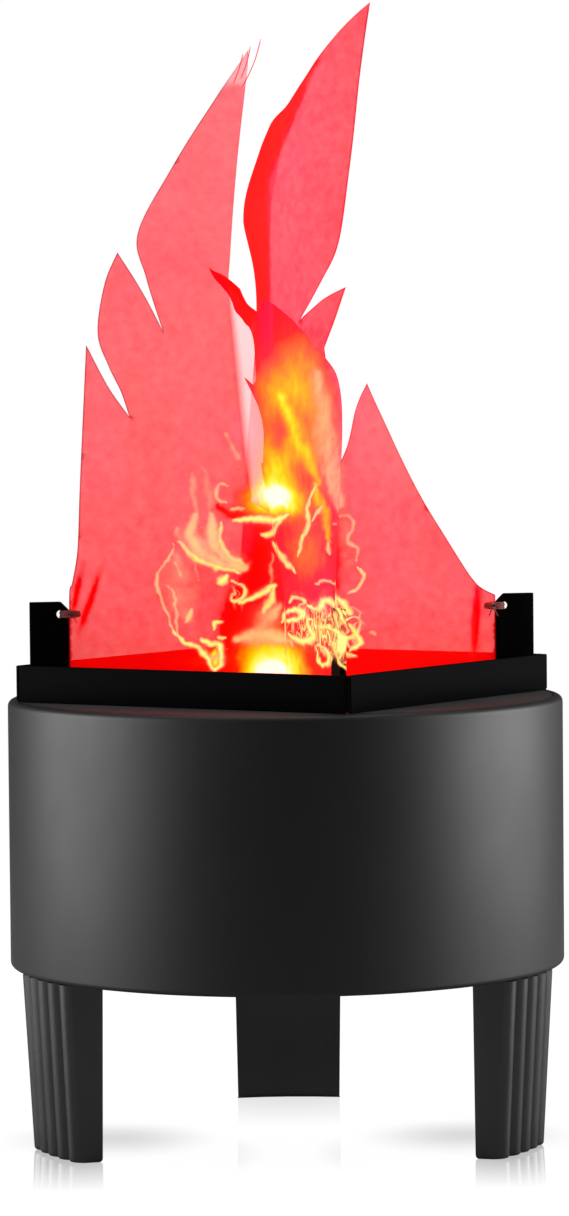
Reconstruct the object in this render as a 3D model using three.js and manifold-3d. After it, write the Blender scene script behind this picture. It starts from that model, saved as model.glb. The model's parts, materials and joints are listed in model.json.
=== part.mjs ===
// A silk flame effect light: a round drum on three fluted legs, a square silk frame on its deck,
// three pieces of flame cloth, and the fan, lamp and supply inside. Millimetres, +Z up, the floor is
// z = 0, the drum's axis is the Z axis and the front of the light looks along -Y.

import * as THREE from 'three';
import { mergeVertices } from 'three/addons/utils/BufferGeometryUtils.js';
import Module from 'manifold-3d';

const wasm = await Module();
wasm.setup();

// Driving dimensions

const drumRadius = 67.5;
const drumHeight = 64.9;
const drumWall = 2.2;
const drumTopRound = 1.6;
const drumBottomRound = 1.2;
const ledgeThickness = 2;
const deckLedgeWidth = 4;
const plateLedgeWidth = 2;
const deckThickness = 2.6;
const plateThickness = 2.5;

const seatGap = 0.3;
const boltGap = 0.3;
const cutOverrun = 2;
const joinOverlap = 0.4;
const weldTolerance = 0.0001;

const legHeight = 42.4;
const legInset = 1;
const legDepth = 9;
const legLean = 2.4;
const legHalfAngle = 13.8;
const legTaperAngle = 0.7;
const legSpacing = 116.5;
const legRidges = 5;
const legFluteDepth = 1.5;
const legFootRound = 0.9;
const legScrewInset = 2.7;
const legScrewLength = 12;
const rearLegAngle = 90;

const frameTurn = 12.4;
const frameInset = 0.7;
const railHeight = 8.5;
const railThickness = 1.6;
const postThickness = 1.5;
const postInset = 4.1;
const postWidth = 9.5;
const postHeight = 23.7;
const postChamfer = 2;
const tongueDepth = 5;
const tongueWidth = 5;
const tongueInset = 2.3;

const silkPostGap = 0.6;
const silkHeight = 167.6;
const silkFloorGap = 1;
const silkThickness = 0.6;
const silkSeamGap = 0.5;
const wideBillow = 3;
const wideRipple = 1.1;
const frontLean = 8.5;
const frontBelly = 13;
const frontCurl = 13;
const rearLean = 18;
const rearTipLean = 6;
const rearFoldReach = 16;
const rearBulge = 3.2;
const silkGridStep = 7.2;

const ringRadius = 2.4;
const ringWire = 0.4;
const ringDrop = 3;
const ringHoleRadius = 1;

const grilleBar = 1.6;
const grilleRings = 3;
const grilleSpokes = 8;
const grilleEyeRadius = 11;
const columnInset = 11.5;
const columnRadius = 3.6;
const columnPilotDepth = 14;
const columnAngles = [30, 150, 270];
const intakeSlotWidth = 3.2;
const intakeInnerRadius = 15;
const intakeRim = 4;

const screwRadius = 1.3;
const pilotRadius = 1.6;
const screwHeadRadius = 2.6;
const screwHeadHeight = 1.3;
const screwDriveRadius = 1.1;
const screwDriveDepth = 0.7;
const baseScrewLength = 11;

const fanSideGap = 25.3;
const fanDepth = 25;
const fanFlange = 3.5;
const fanRim = 2;
const fanWall = 1.6;
const fanHoleInset = 4.25;
const fanHoleRadius = 2.1;
const fanCornerRound = 4;
const fanHubRadius = 16.5;
const fanHubWall = 1.4;
const fanStrutWidth = 3;
const fanStruts = 4;
const fanBlades = 7;
const bladeThickness = 1.3;
const bladeChord = 20;
const bladeRootPitch = 48;
const bladeTipPitch = 34;
const bladeCamber = 2.2;
const bladeTipGap = 1.2;
const fanHubClearance = 1;
const shaftRadius = 1.5;
const shaftPlay = 0.1;
const shaftBossWall = 1.6;
const shaftBossDepth = 4;
const bearingWall = 1.5;
const bearingTubeWall = 1.6;
const bearingLength = 13;
const magnetThickness = 1.5;
const magnetHeight = 10;
const statorRadius = 12;
const statorHeight = 7;
const statorPoles = 4;
const statorPoleWidth = 4;
const statorHeadDepth = 2;
const coilBulge = 1.6;
const standoffRadius = 3.6;
const standoffHeight = 4.5;

const lampGapShare = 0.35;
const bracketThickness = 2;
const bracketArmWidth = 6;
const bracketDiscRadius = 20;
const bracketFootReach = 4.5;
const bracketRiserInset = 6;
const sinkRadius = 17;
const sinkBase = 2;
const sinkFinHeight = 5;
const sinkGrooves = 5;
const lampBoardRadius = 17;
const boardThickness = 1.6;
const ledCircle = 10.5;
const ledFlangeRadius = 3;
const ledFlangeHeight = 1.2;
const ledDomeRadius = 2.4;
const ledBodyHeight = 1.6;

const driverWallGap = 19.3;
const driverLength = 45;
const driverHeight = 32;
const driverColumnGap = 5.4;
const guideDepth = 5;
const guideWidth = 4;
const guideHeight = 15;
const guideGrip = 1.5;
const transformerSize = 16;
const transformerDepth = 12;
const transformerHeight = 15;
const capacitorRadius = 4.5;
const capacitorLength = 12;
const terminalWidth = 9;
const terminalDepth = 8;
const terminalHeight = 8;
const leadRadius = 0.8;
const leadSlack = 3;
const leadCornerAngle = 135;

const recessHalfWidth = 21;
const recessDepth = 4.1;
const recessWall = 2;
const recessHeight = 24;
const recessRise = 23.3;
const switchX = -9.5;
const inletX = 10.5;
const switchBodyWidth = 12;
const switchBodyHeight = 18.6;
const switchBodyDepth = 13;
const switchFlange = 2;
const switchFlangeDepth = 1.3;
const rockerWidth = 8.4;
const rockerHalfHeight = 7.4;
const rockerProud = 3.2;
const rockerDip = 0.6;
const rockerBack = 3;
const rockerTilt = 8;
const rockerPivotInset = 1.4;
const rockerPlay = 0.8;
const rockerPinRadius = 0.7;
const inletBodyRadius = 3.9;
const inletBoreRadius = 3.1;
const inletPinRadius = 1;
const inletFlangeRadius = 5.4;
const inletDepth = 14;
const inletBoreDepth = 10;
const inletNutRadius = 5.8;
const inletNutThickness = 2;
const tabWidth = 3;
const tabThickness = 0.8;
const tabLength = 2.4;

// Counts, directions and names of what repeats

const degree = Math.PI / 180;
const quarterTurn = 90;
const cornerSides = [[1, 1], [-1, 1], [-1, -1], [1, -1]];
const intakeSlots = 16;
const outerLeds = 4;
const legAngles = [rearLegAngle, rearLegAngle + legSpacing, rearLegAngle - legSpacing];
const legNames = ['leg_rear', 'leg_front_left', 'leg_front_right'];
const postNames = ['right', 'rear', 'left', 'front'];
const railNames = ['rear_right', 'rear_left', 'front_left', 'front_right'];

// Counts of the sides and steps of round shapes

const drumSides = 48;
const grilleSides = 24;
const fanSides = 24;
const mediumSides = 16;
const smallSides = 10;
const wireSides = 6;
const roundSteps = 2;
const domeSteps = 3;
const ridgeSteps = 4;
const leadSteps = 11;
const edgeSteps = 2;
const bladeSteps = 3;
const wideRipples = 2;
const rippleDrift = 3;

// Levels and radii that follow from them

const drumBottomZ = legHeight + seatGap;
const drumTopZ = drumBottomZ + drumHeight;
const drumInnerRadius = drumRadius - drumWall;
const legOuterRadius = drumRadius - legInset;
const legInnerRadius = legOuterRadius - legDepth;
const legScrewCircle = legInnerRadius + legScrewInset;
const frameCornerRadius = drumRadius - frameInset;
const postOuterRadius = frameCornerRadius - postInset;
const postInnerRadius = postOuterRadius - postWidth;
const silkSpan = postInnerRadius - silkPostGap;
const leafSeamInset = silkSeamGap + silkThickness / 2 + wideRipple;
const columnCircle = drumRadius - columnInset;
const plateTopZ = drumBottomZ + plateThickness;
const deckUnderZ = drumTopZ - deckThickness;
const coverRadius = drumInnerRadius - seatGap;
const frameZ = drumTopZ + seatGap;
const postTopZ = frameZ + postHeight;
const ringZ = postTopZ - ringDrop;
const ringCentre = (postInnerRadius + silkSpan) / 2;
const silkFootZ = drumTopZ + silkFloorGap;
const fanBottomZ = plateTopZ + standoffHeight + seatGap;
const fanTopZ = fanBottomZ + fanDepth;
const fanHalfSize = drumInnerRadius - fanSideGap;
const fanBoreRadius = fanHalfSize - fanRim;
const fanHoleReach = fanHalfSize - fanHoleInset;
const grilleRadius = fanBoreRadius;
const intakeOuterRadius = fanBoreRadius - intakeRim;
const bearingRadius = shaftRadius + shaftPlay + bearingWall;
const bearingTubeRadius = bearingRadius + seatGap + bearingTubeWall;
const hubFloorZ = fanBottomZ + fanFlange;
const hubUnderZ = hubFloorZ + fanHubClearance;
const hubTopZ = fanTopZ - fanHubClearance;
const sinkStack = bracketThickness + seatGap + sinkBase + sinkFinHeight;
const ledHeight = ledFlangeHeight + ledBodyHeight + ledDomeRadius;
const lampStack = sinkStack + boardThickness + ledHeight + 2 * seatGap;
const lampFreeHeight = deckUnderZ - fanTopZ - lampStack;
const bracketTopZ = fanTopZ + sinkStack + lampGapShare * lampFreeHeight;
const bracketFootTopZ = fanTopZ + seatGap + bracketThickness;
const lampBoardZ = bracketTopZ + seatGap;
const lampBoardTopZ = lampBoardZ + boardThickness;
const driverBottomZ = plateTopZ + seatGap;
const driverTopZ = driverBottomZ + driverHeight;
const driverX = driverWallGap - drumInnerRadius;
const driverFaceX = driverX - boardThickness;
const driverRearY = columnCircle * Math.sin(columnAngles[1] * degree) - columnRadius - driverColumnGap;
const driverCentreY = driverRearY - driverLength / 2;
const columnTopZ = deckUnderZ + joinOverlap;
const recessFaceY = drumRadius - recessDepth;
const recessCentreZ = drumBottomZ + recessRise;
const rockerPivotY = recessFaceY - rockerPivotInset;

// Outlines of the flame cloth, as shares of the span from the middle to the post and of the
// cloth's height above the deck. Each row is one edge; the edges meet in tips and notches.

const wideEdgeShares = [
  [[-1, 0], [-1, 0.14], [-0.985, 0.165], [-0.962, 0.211], [-0.95, 0.3], [-0.93, 0.43], [-0.918, 0.505]],
  [[-0.918, 0.505], [-0.765, 0.431], [-0.732, 0.405]],
  [[-0.732, 0.405], [-0.788, 0.435], [-0.868, 0.522], [-0.835, 0.592], [-0.775, 0.637]],
  [[-0.775, 0.637], [-0.648, 0.572], [-0.57, 0.525]],
  [[-0.57, 0.525], [-0.645, 0.6], [-0.684, 0.663], [-0.529, 0.753], [-0.307, 0.86], [-0.152, 0.928]],
  [[-0.152, 0.928], [-0.158, 0.9]],
  [[-0.158, 0.9], [-0.212, 0.769], [-0.25, 0.638], [-0.258, 0.56], [-0.201, 0.375], [-0.153, 0.276]],
  [[-0.153, 0.276], [0, 0.256], [0.16, 0.28], [0.297, 0.345], [0.358, 0.411], [0.418, 0.447]],
  [[0.418, 0.447], [0.488, 0.398], [0.645, 0.292], [0.837, 0.189], [0.926, 0.15], [1, 0.135]],
  [[1, 0.135], [1, 0]],
  [[1, 0], [-1, 0]],
];
const frontEdgeShares = [
  [[0, 0], [0, 0.25], [0.03, 0.4], [0.05, 0.5], [0.09, 0.56], [0.12, 0.6], [0.152, 0.616]],
  [[0.152, 0.616], [0.158, 0.59], [0.2, 0.563]],
  [[0.2, 0.563], [0.33, 0.558], [0.5, 0.531], [0.66, 0.502], [0.776, 0.473], [0.842, 0.443]],
  [[0.842, 0.443], [0.9, 0.37], [0.955, 0.26], [1, 0.14]],
  [[1, 0.14], [1, 0]],
  [[1, 0], [0, 0]],
];
const rearEdgeShares = [
  [[0, 0], [0, 0.25], [0.04, 0.4], [0.11, 0.499]],
  [[0.11, 0.499], [0.06, 0.546], [0.022, 0.587]],
  [[0.022, 0.587], [0.12, 0.57], [0.26, 0.542]],
  [[0.26, 0.542], [0.115, 0.602], [0.045, 0.66], [0.02, 0.775], [0.014, 0.9], [0.01, 1]],
  [[0.01, 1], [0.085, 0.968], [0.197, 0.918], [0.368, 0.861], [0.575, 0.815], [0.69, 0.76], [0.73, 0.69]],
  [[0.73, 0.69], [0.71, 0.62], [0.74, 0.5], [0.85, 0.35], [0.95, 0.22], [1, 0.14]],
  [[1, 0.14], [1, 0]],
  [[1, 0], [0, 0]],
];

// The heights at which the cloth starts and ends each lean, as shares of its height

const wideRiseShares = [0, 0.5];
const frontLeanShares = [0.074, 0.459];
const frontCurlShares = [0.536, 0.618];
const rearLeanShares = [0.103, 0.548];
const rearTipShares = [0.548, 1];
const rearBulgeShare = 0.702;
const rearBulgeWidthShare = 0.077;
const rearBulgeReachShare = 0.68;

// Small helpers for geometry

function signedVolume(position, triangles) {
  const a = new THREE.Vector3();
  const b = new THREE.Vector3();
  const c = new THREE.Vector3();
  let volume = 0;
  for (let i = 0; i < triangles.length; i += 3) {
    a.fromBufferAttribute(position, triangles[i]);
    b.fromBufferAttribute(position, triangles[i + 1]);
    c.fromBufferAttribute(position, triangles[i + 2]);
    volume += a.dot(b.cross(c));
  }
  return volume;
}

function solidOf(geometry) {
  const bare = geometry.clone();
  bare.deleteAttribute('normal');
  bare.deleteAttribute('uv');
  const welded = mergeVertices(bare, weldTolerance);
  const corners = welded.index.array;
  let triangles = [];
  for (let i = 0; i < corners.length; i += 3) {
    const [a, b, c] = [corners[i], corners[i + 1], corners[i + 2]];
    if (a !== b && b !== c && c !== a) triangles.push(a, b, c);
  }
  if (signedVolume(welded.attributes.position, triangles) < 0) triangles = triangles.reverse();
  return new wasm.Manifold(new wasm.Mesh({
    numProp: 3,
    vertProperties: new Float32Array(welded.attributes.position.array),
    triVerts: new Uint32Array(triangles),
  }));
}

function geometryOf(solid) {
  const mesh = solid.getMesh();
  const geometry = new THREE.BufferGeometry();
  geometry.setAttribute('position', new THREE.BufferAttribute(new Float32Array(mesh.vertProperties), 3));
  geometry.setIndex(new THREE.BufferAttribute(new Uint32Array(mesh.triVerts), 1));
  geometry.computeVertexNormals();
  return geometry;
}

function join(first, ...others) {
  let solid = solidOf(first);
  for (const other of others) solid = solid.add(solidOf(other));
  return geometryOf(solid);
}

function cut(body, ...tools) {
  let solid = solidOf(body);
  for (const tool of tools) solid = solid.subtract(solidOf(tool));
  return geometryOf(solid);
}

function common(first, second) {
  return geometryOf(solidOf(first).intersect(solidOf(second)));
}

// A box centred on x and y that stands on z = 0

function box(sizeX, sizeY, sizeZ) {
  return new THREE.BoxGeometry(sizeX, sizeY, sizeZ).translate(0, 0, sizeZ / 2);
}

// A round bar that stands on z = 0

function bar(radius, length, sides) {
  const cylinder = new THREE.CylinderGeometry(radius, radius, length, sides);
  return cylinder.rotateX(Math.PI / 2).translate(0, 0, length / 2);
}

// A solid of revolution about Z from a closed list of radius and height pairs

function turned(profile, sides) {
  const points = [...profile, profile[0]].map(([radius, height]) => new THREE.Vector2(radius, height));
  return new THREE.LatheGeometry(points, sides).rotateX(Math.PI / 2);
}

function plate(points, thickness) {
  const shape = new THREE.Shape(points.map(([x, y]) => new THREE.Vector2(x, y)));
  return new THREE.ExtrudeGeometry(shape, { depth: thickness, bevelEnabled: false });
}

function arc(centreX, centreY, radius, fromDegrees, toDegrees, steps) {
  const points = [];
  for (let i = 0; i <= steps; i += 1) {
    const angle = (fromDegrees + (toDegrees - fromDegrees) * i / steps) * degree;
    points.push([centreX + radius * Math.cos(angle), centreY + radius * Math.sin(angle)]);
  }
  return points;
}

// A closed solid through a list of sections, each a list of as many 3-D points, with flat ends

function loft(sections, outline) {
  const count = outline.length;
  const positions = sections.flat().flatMap((point) => [point.x, point.y, point.z]);
  const indices = [];
  for (let level = 0; level < sections.length - 1; level += 1) {
    for (let i = 0; i < count; i += 1) {
      const next = (i + 1) % count;
      const low = level * count;
      const high = low + count;
      indices.push(low + i, low + next, high + next, low + i, high + next, high + i);
    }
  }
  const last = (sections.length - 1) * count;
  for (const [a, b, c] of THREE.ShapeUtils.triangulateShape(outline, [])) {
    indices.push(c, b, a, last + a, last + b, last + c);
  }
  const geometry = new THREE.BufferGeometry();
  geometry.setAttribute('position', new THREE.Float32BufferAttribute(positions, 3));
  geometry.setIndex(indices);
  return geometryOf(solidOf(geometry));
}

function aroundZ(radius, degrees, z) {
  return new THREE.Vector3(radius * Math.cos(degrees * degree), radius * Math.sin(degrees * degree), z);
}

function smoothStep(share, [from, to]) {
  const t = THREE.MathUtils.clamp((share - from) / (to - from), 0, 1);
  return t * t * (3 - 2 * t);
}

// Finishes

const finishes = {
  satinBlack: { color: 0x1b1b1c, roughness: 0.42, metalness: 0 },
  mattBlack: { color: 0x101011, roughness: 0.6, metalness: 0 },
  silkRed: { color: 0xff2a30, roughness: 0.7, metalness: 0, side: THREE.DoubleSide },
  thread: { color: 0xd8b8b0, roughness: 0.8, metalness: 0 },
  steel: { color: 0xb9bcc0, roughness: 0.3, metalness: 1 },
  brass: { color: 0xc9a24a, roughness: 0.35, metalness: 1 },
  copper: { color: 0xb4652f, roughness: 0.4, metalness: 1 },
  aluminium: { color: 0xc8cace, roughness: 0.45, metalness: 1 },
  magnet: { color: 0x2e2f33, roughness: 0.7, metalness: 0.2 },
  circuitGreen: { color: 0x1f6b3a, roughness: 0.5, metalness: 0 },
  circuitWhite: { color: 0xe8e8e2, roughness: 0.5, metalness: 0 },
  amberLens: { color: 0xffb52e, roughness: 0.2, metalness: 0 },
  windingYellow: { color: 0xe0b020, roughness: 0.6, metalness: 0 },
  capSleeve: { color: 0x20304a, roughness: 0.4, metalness: 0 },
  terminalGreen: { color: 0x2f8f4a, roughness: 0.5, metalness: 0 },
  leadRed: { color: 0xa81c1c, roughness: 0.6, metalness: 0 },
  leadBlack: { color: 0x151515, roughness: 0.6, metalness: 0 },
};

function piece(name, geometry, finish) {
  const mesh = new THREE.Mesh(geometry, new THREE.MeshStandardMaterial(finishes[finish]));
  mesh.name = name;
  return mesh;
}

function turnedGroup(degrees, ...children) {
  const group = new THREE.Group();
  group.rotation.z = degrees * degree;
  group.add(...children);
  return group;
}

// A pan-head screw along -Z whose head stands on z = 0

function screwGeometry(length) {
  const driveFloor = screwHeadHeight - screwDriveDepth;
  const profile = [
    [0, -length],
    [screwRadius, -length + screwRadius],
    [screwRadius, 0],
    [screwHeadRadius, 0],
    [screwHeadRadius, screwHeadHeight - screwDriveDepth],
    [screwDriveRadius + screwDriveDepth, screwHeadHeight],
    [screwDriveRadius, screwHeadHeight],
    [0, driveFloor],
  ];
  return turned(profile, smallSides);
}

// The round housing, with its two ledges and the flat recess at the back

function drumShell() {
  const deckLedgeZ = deckUnderZ - seatGap;
  const plateLedgeZ = plateTopZ + seatGap;
  const bottomRoundZ = drumBottomZ + drumBottomRound;
  const topRoundZ = drumTopZ - drumTopRound;
  const shell = turned([
    [drumInnerRadius, drumBottomZ],
    ...arc(drumRadius - drumBottomRound, bottomRoundZ, drumBottomRound, -quarterTurn, 0, roundSteps),
    ...arc(drumRadius - drumTopRound, topRoundZ, drumTopRound, 0, quarterTurn, roundSteps),
    [drumInnerRadius, drumTopZ],
    [drumInnerRadius, deckLedgeZ],
    [drumInnerRadius - deckLedgeWidth, deckLedgeZ],
    [drumInnerRadius - deckLedgeWidth, deckLedgeZ - ledgeThickness],
    [drumInnerRadius, deckLedgeZ - ledgeThickness],
    [drumInnerRadius, plateLedgeZ + ledgeThickness],
    [drumInnerRadius - plateLedgeWidth, plateLedgeZ + ledgeThickness],
    [drumInnerRadius - plateLedgeWidth, plateLedgeZ],
    [drumInnerRadius, plateLedgeZ],
  ], drumSides);
  const recessFloorZ = recessCentreZ - recessHeight / 2;
  const pocketDepth = drumRadius - recessFaceY + cutOverrun;
  const pocket = box(2 * recessHalfWidth, pocketDepth, recessHeight)
    .translate(0, recessFaceY + pocketDepth / 2, recessFloorZ);
  const blockDepth = drumRadius - recessFaceY + recessWall;
  const block = box(2 * (recessHalfWidth + recessWall), blockDepth, recessHeight + 2 * recessWall)
    .translate(0, recessFaceY - recessWall + blockDepth / 2, recessFloorZ - recessWall);
  const core = bar(drumRadius - drumWall / 2, drumHeight, drumSides).translate(0, 0, drumBottomZ);
  const backed = join(shell, common(block, core));
  const holeHeight = switchBodyHeight + 2 * seatGap;
  const switchHole = box(switchBodyWidth + 2 * seatGap, pocketDepth + recessWall, holeHeight)
    .translate(switchX, recessFaceY, recessCentreZ - holeHeight / 2);
  const inletHole = bar(inletBodyRadius + seatGap, pocketDepth, mediumSides).rotateX(Math.PI / 2)
    .translate(inletX, recessFaceY + pocketDepth / 2, recessCentreZ);
  return cut(backed, pocket, switchHole, inletHole);
}

// The deck: a disc with the guard grille over the fan, slots for the posts and three screw columns

function topDeck() {
  const disc = bar(coverRadius, deckThickness, drumSides).translate(0, 0, deckUnderZ);
  const toolHeight = deckThickness + 2 * cutOverrun;
  const toolZ = deckUnderZ - cutOverrun;
  const eye = bar(grilleRadius, toolHeight, grilleSides).translate(0, 0, toolZ);
  const slotWidth = tongueWidth + 2 * seatGap;
  const slots = postNames.map((name, k) => box(slotWidth, postThickness + 2 * seatGap, toolHeight)
    .translate(postInnerRadius + tongueInset + tongueWidth / 2, 0, toolZ)
    .rotateZ((frameTurn + quarterTurn * k) * degree));
  let deck = cut(disc, eye, ...slots);
  const ringStep = (grilleRadius - grilleEyeRadius) / grilleRings;
  for (let k = 0; k < grilleRings; k += 1) {
    const radius = grilleEyeRadius + k * ringStep;
    deck = join(deck, turned([
      [radius, deckUnderZ],
      [radius + grilleBar, deckUnderZ],
      [radius + grilleBar, drumTopZ],
      [radius, drumTopZ],
    ], grilleSides));
    if (k === 0) deck = join(deck, ...grilleSpokeBars());
  }
  const columnLength = columnTopZ - plateTopZ - seatGap;
  for (const angle of columnAngles) {
    const centre = aroundZ(columnCircle, angle, plateTopZ + seatGap);
    const column = bar(columnRadius, columnLength, smallSides);
    const pilot = bar(pilotRadius, columnPilotDepth + cutOverrun, smallSides).translate(0, 0, -cutOverrun);
    deck = join(deck, cut(column, pilot).translate(centre.x, centre.y, centre.z));
  }
  return deck;
}

function grilleSpokeBars() {
  const from = grilleEyeRadius + grilleBar / 2;
  const length = grilleRadius + grilleBar / 2 - from;
  const spokes = [];
  for (let k = 0; k < grilleSpokes; k += 1) {
    spokes.push(box(length, grilleBar, deckThickness)
      .translate(from + length / 2, 0, deckUnderZ)
      .rotateZ(360 / grilleSpokes * k * degree));
  }
  return spokes;
}

// The plate that closes the drum below, with its air slots, standoffs and card guides

function bottomPlate() {
  const holeHeight = plateThickness + 2 * cutOverrun;
  const holeZ = drumBottomZ - cutOverrun;
  const tools = [];
  for (let k = 0; k < intakeSlots; k += 1) {
    tools.push(box(intakeOuterRadius - intakeInnerRadius, intakeSlotWidth, holeHeight)
      .translate((intakeOuterRadius + intakeInnerRadius) / 2, 0, holeZ)
      .rotateZ(360 / intakeSlots * (k + 1 / 2) * degree));
  }
  for (const angle of legAngles) {
    const centre = aroundZ(legScrewCircle, angle, holeZ);
    tools.push(bar(pilotRadius, holeHeight, smallSides).translate(centre.x, centre.y, centre.z));
  }
  for (const angle of columnAngles) {
    const centre = aroundZ(columnCircle, angle, holeZ);
    tools.push(bar(pilotRadius, holeHeight, smallSides).translate(centre.x, centre.y, centre.z));
    tools.push(bar(screwHeadRadius + boltGap, screwHeadHeight + cutOverrun, smallSides)
      .translate(centre.x, centre.y, centre.z));
  }
  const disc = cut(bar(coverRadius, plateThickness, drumSides).translate(0, 0, drumBottomZ), ...tools);
  const post = bar(standoffRadius, standoffHeight + joinOverlap, smallSides);
  const posts = atFanHoles(post.translate(0, 0, plateTopZ - joinOverlap));
  const pilot = bar(pilotRadius, standoffHeight + cutOverrun, smallSides);
  const pilots = atFanHoles(pilot.translate(0, 0, plateTopZ));
  return cut(join(disc, ...posts, ...cardGuides()), ...pilots);
}

// Copies of a shape on the Z axis at the four screw holes of the fan

function atFanHoles(geometry) {
  return cornerSides.map(([sideX, sideY]) => {
    const copy = geometry.clone();
    return copy.translate(sideX * fanHoleReach, sideY * fanHoleReach, 0);
  });
}

// Two grooved posts that hold the driver board by its ends

function cardGuides() {
  return [-1, 1].map((side) => {
    const endY = driverCentreY + side * driverLength / 2;
    const centreY = endY - side * (guideGrip - guideWidth / 2);
    const post = box(guideDepth, guideWidth, guideHeight + joinOverlap);
    const grooveReach = guideGrip + seatGap;
    const grooveLength = grooveReach + cutOverrun;
    const grooveY = side * (guideWidth / 2 - grooveReach + grooveLength / 2);
    const groove = box(boardThickness + 2 * seatGap, grooveLength, guideHeight + cutOverrun)
      .translate(0, -grooveY, joinOverlap);
    return cut(post, groove).translate(driverX - boardThickness / 2, centreY, plateTopZ - joinOverlap);
  });
}

// The three fluted legs

function legSection(z) {
  const share = z / legHeight;
  const halfAngle = legHalfAngle - legTaperAngle * (1 - share);
  const outer = legOuterRadius - legLean * (1 - share);
  const below = Math.max(0, 1 - z / legFootRound);
  const footInset = legFootRound * (1 - Math.sqrt(1 - below * below));
  const count = legRidges * ridgeSteps;
  const points = [];
  for (let i = -1; i <= 1; i += 1) points.push([legInnerRadius + footInset, i * halfAngle]);
  for (let i = count; i >= 0; i -= 1) {
    const along = i / count;
    const ridge = Math.abs(Math.sin(Math.PI * legRidges * along));
    const depth = legFluteDepth * (1 - Math.sqrt(ridge));
    points.push([outer - footInset - depth, halfAngle * (2 * along - 1)]);
  }
  return points.map(([radius, angle]) => aroundZ(radius, angle, z)).reverse();
}

function legGeometry() {
  const levels = [0, legFootRound / 4, legFootRound, legHeight / 2, legHeight];
  const sections = levels.map(legSection);
  const outline = sections.at(-1).map((point) => new THREE.Vector2(point.x, point.y));
  const pilot = bar(pilotRadius, legScrewLength + cutOverrun, smallSides)
    .translate(legScrewCircle, 0, legHeight - legScrewLength);
  return cut(loft(sections, outline), pilot);
}

function legs() {
  return legAngles.map((angle, k) => {
    const screw = screwGeometry(legScrewLength).translate(legScrewCircle, 0, plateTopZ + seatGap);
    return turnedGroup(
      angle,
      piece(legNames[k], legGeometry(), 'satinBlack'),
      piece(`leg_screw_${k + 1}`, screw, 'steel'),
    );
  });
}

function baseScrews() {
  return columnAngles.map((angle, k) => {
    const screw = screwGeometry(baseScrewLength).rotateX(Math.PI);
    screw.translate(columnCircle, 0, drumBottomZ + screwHeadHeight);
    return turnedGroup(angle, piece(`base_screw_${k + 1}`, screw, 'steel'));
  });
}

// The silk frame: four rails, four posts and the rings that tie the cloth to them

function railGeometry() {
  const halfSide = frameCornerRadius / Math.SQRT2;
  const endInset = (postThickness / 2 + seatGap) * Math.SQRT2;
  const outerEnd = halfSide - endInset;
  const innerEnd = outerEnd - railThickness;
  return plate([
    [halfSide, -outerEnd],
    [halfSide, outerEnd],
    [halfSide - railThickness, innerEnd],
    [halfSide - railThickness, -innerEnd],
  ], railHeight).translate(0, 0, frameZ);
}

// A radial plate, drawn in radius and height

function postGeometry() {
  const tongueInner = postInnerRadius + tongueInset;
  const outline = [
    [postInnerRadius, 0],
    [tongueInner, 0],
    [tongueInner, -tongueDepth],
    [tongueInner + tongueWidth, -tongueDepth],
    [tongueInner + tongueWidth, 0],
    [frameCornerRadius - postThickness / 2, 0],
    [frameCornerRadius - postThickness / 2, railHeight],
    [postOuterRadius, railHeight],
    [postOuterRadius, postHeight],
    [postInnerRadius + postChamfer, postHeight],
    [postInnerRadius, postHeight - postChamfer],
  ];
  const body = plate(outline, postThickness).translate(0, 0, -postThickness / 2).rotateX(Math.PI / 2);
  return cut(body.translate(0, 0, frameZ), ringHole(ringCentre + ringRadius));
}

function ringHole(radius) {
  const reach = frontLean + postThickness;
  return bar(ringHoleRadius, 2 * reach, smallSides).rotateX(Math.PI / 2).translate(radius, reach, ringZ);
}

function ringGeometry() {
  const ring = new THREE.TorusGeometry(ringRadius, ringWire, wireSides, smallSides);
  return ring.translate(ringCentre, 0, ringZ);
}

// Cloth is a folded sheet, cut to its outline

function outlineOf(edgeShares) {
  const points = [];
  for (const edge of edgeShares) {
    const vectors = edge.map(([across, up]) => new THREE.Vector2(across * silkSpan, up * silkHeight));
    const steps = edge.length > 2 ? edgeSteps * (edge.length - 1) : 1;
    const curve = edge.length > 2 ? new THREE.SplineCurve(vectors) : new THREE.LineCurve(...vectors);
    points.push(...curve.getPoints(steps).slice(0, -1));
  }
  return points.map((point) => [point.x, point.y]);
}

function foldedSheet(spanFrom, spanTo, offsetAt) {
  const columns = Math.ceil((spanTo - spanFrom) / silkGridStep);
  const rows = Math.ceil((silkHeight + 2 * cutOverrun) / silkGridStep);
  const positions = [];
  for (const side of [-1, 1]) {
    for (let row = 0; row <= rows; row += 1) {
      const up = -cutOverrun + (silkHeight + 2 * cutOverrun) * row / rows;
      for (let column = 0; column <= columns; column += 1) {
        const across = spanFrom + (spanTo - spanFrom) * column / columns;
        positions.push(across, offsetAt(across / silkSpan, up / silkHeight) + side * silkThickness / 2, up);
      }
    }
  }
  const stride = columns + 1;
  const layer = stride * (rows + 1);
  const indices = [];
  const quad = (a, b, c, d) => indices.push(a, b, c, a, c, d);
  for (let row = 0; row < rows; row += 1) {
    for (let column = 0; column < columns; column += 1) {
      const a = row * stride + column;
      quad(a, a + 1, a + stride + 1, a + stride);
      quad(layer + a + stride, layer + a + stride + 1, layer + a + 1, layer + a);
    }
    const left = row * stride;
    const right = left + columns;
    quad(left, left + stride, layer + left + stride, layer + left);
    quad(right + stride, right, layer + right, layer + right + stride);
  }
  for (let column = 0; column < columns; column += 1) {
    const top = rows * stride + column;
    quad(column + 1, column, layer + column, layer + column + 1);
    quad(top, top + 1, layer + top + 1, layer + top);
  }
  const geometry = new THREE.BufferGeometry();
  geometry.setAttribute('position', new THREE.Float32BufferAttribute(positions, 3));
  geometry.setIndex(indices);
  return geometry;
}

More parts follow.
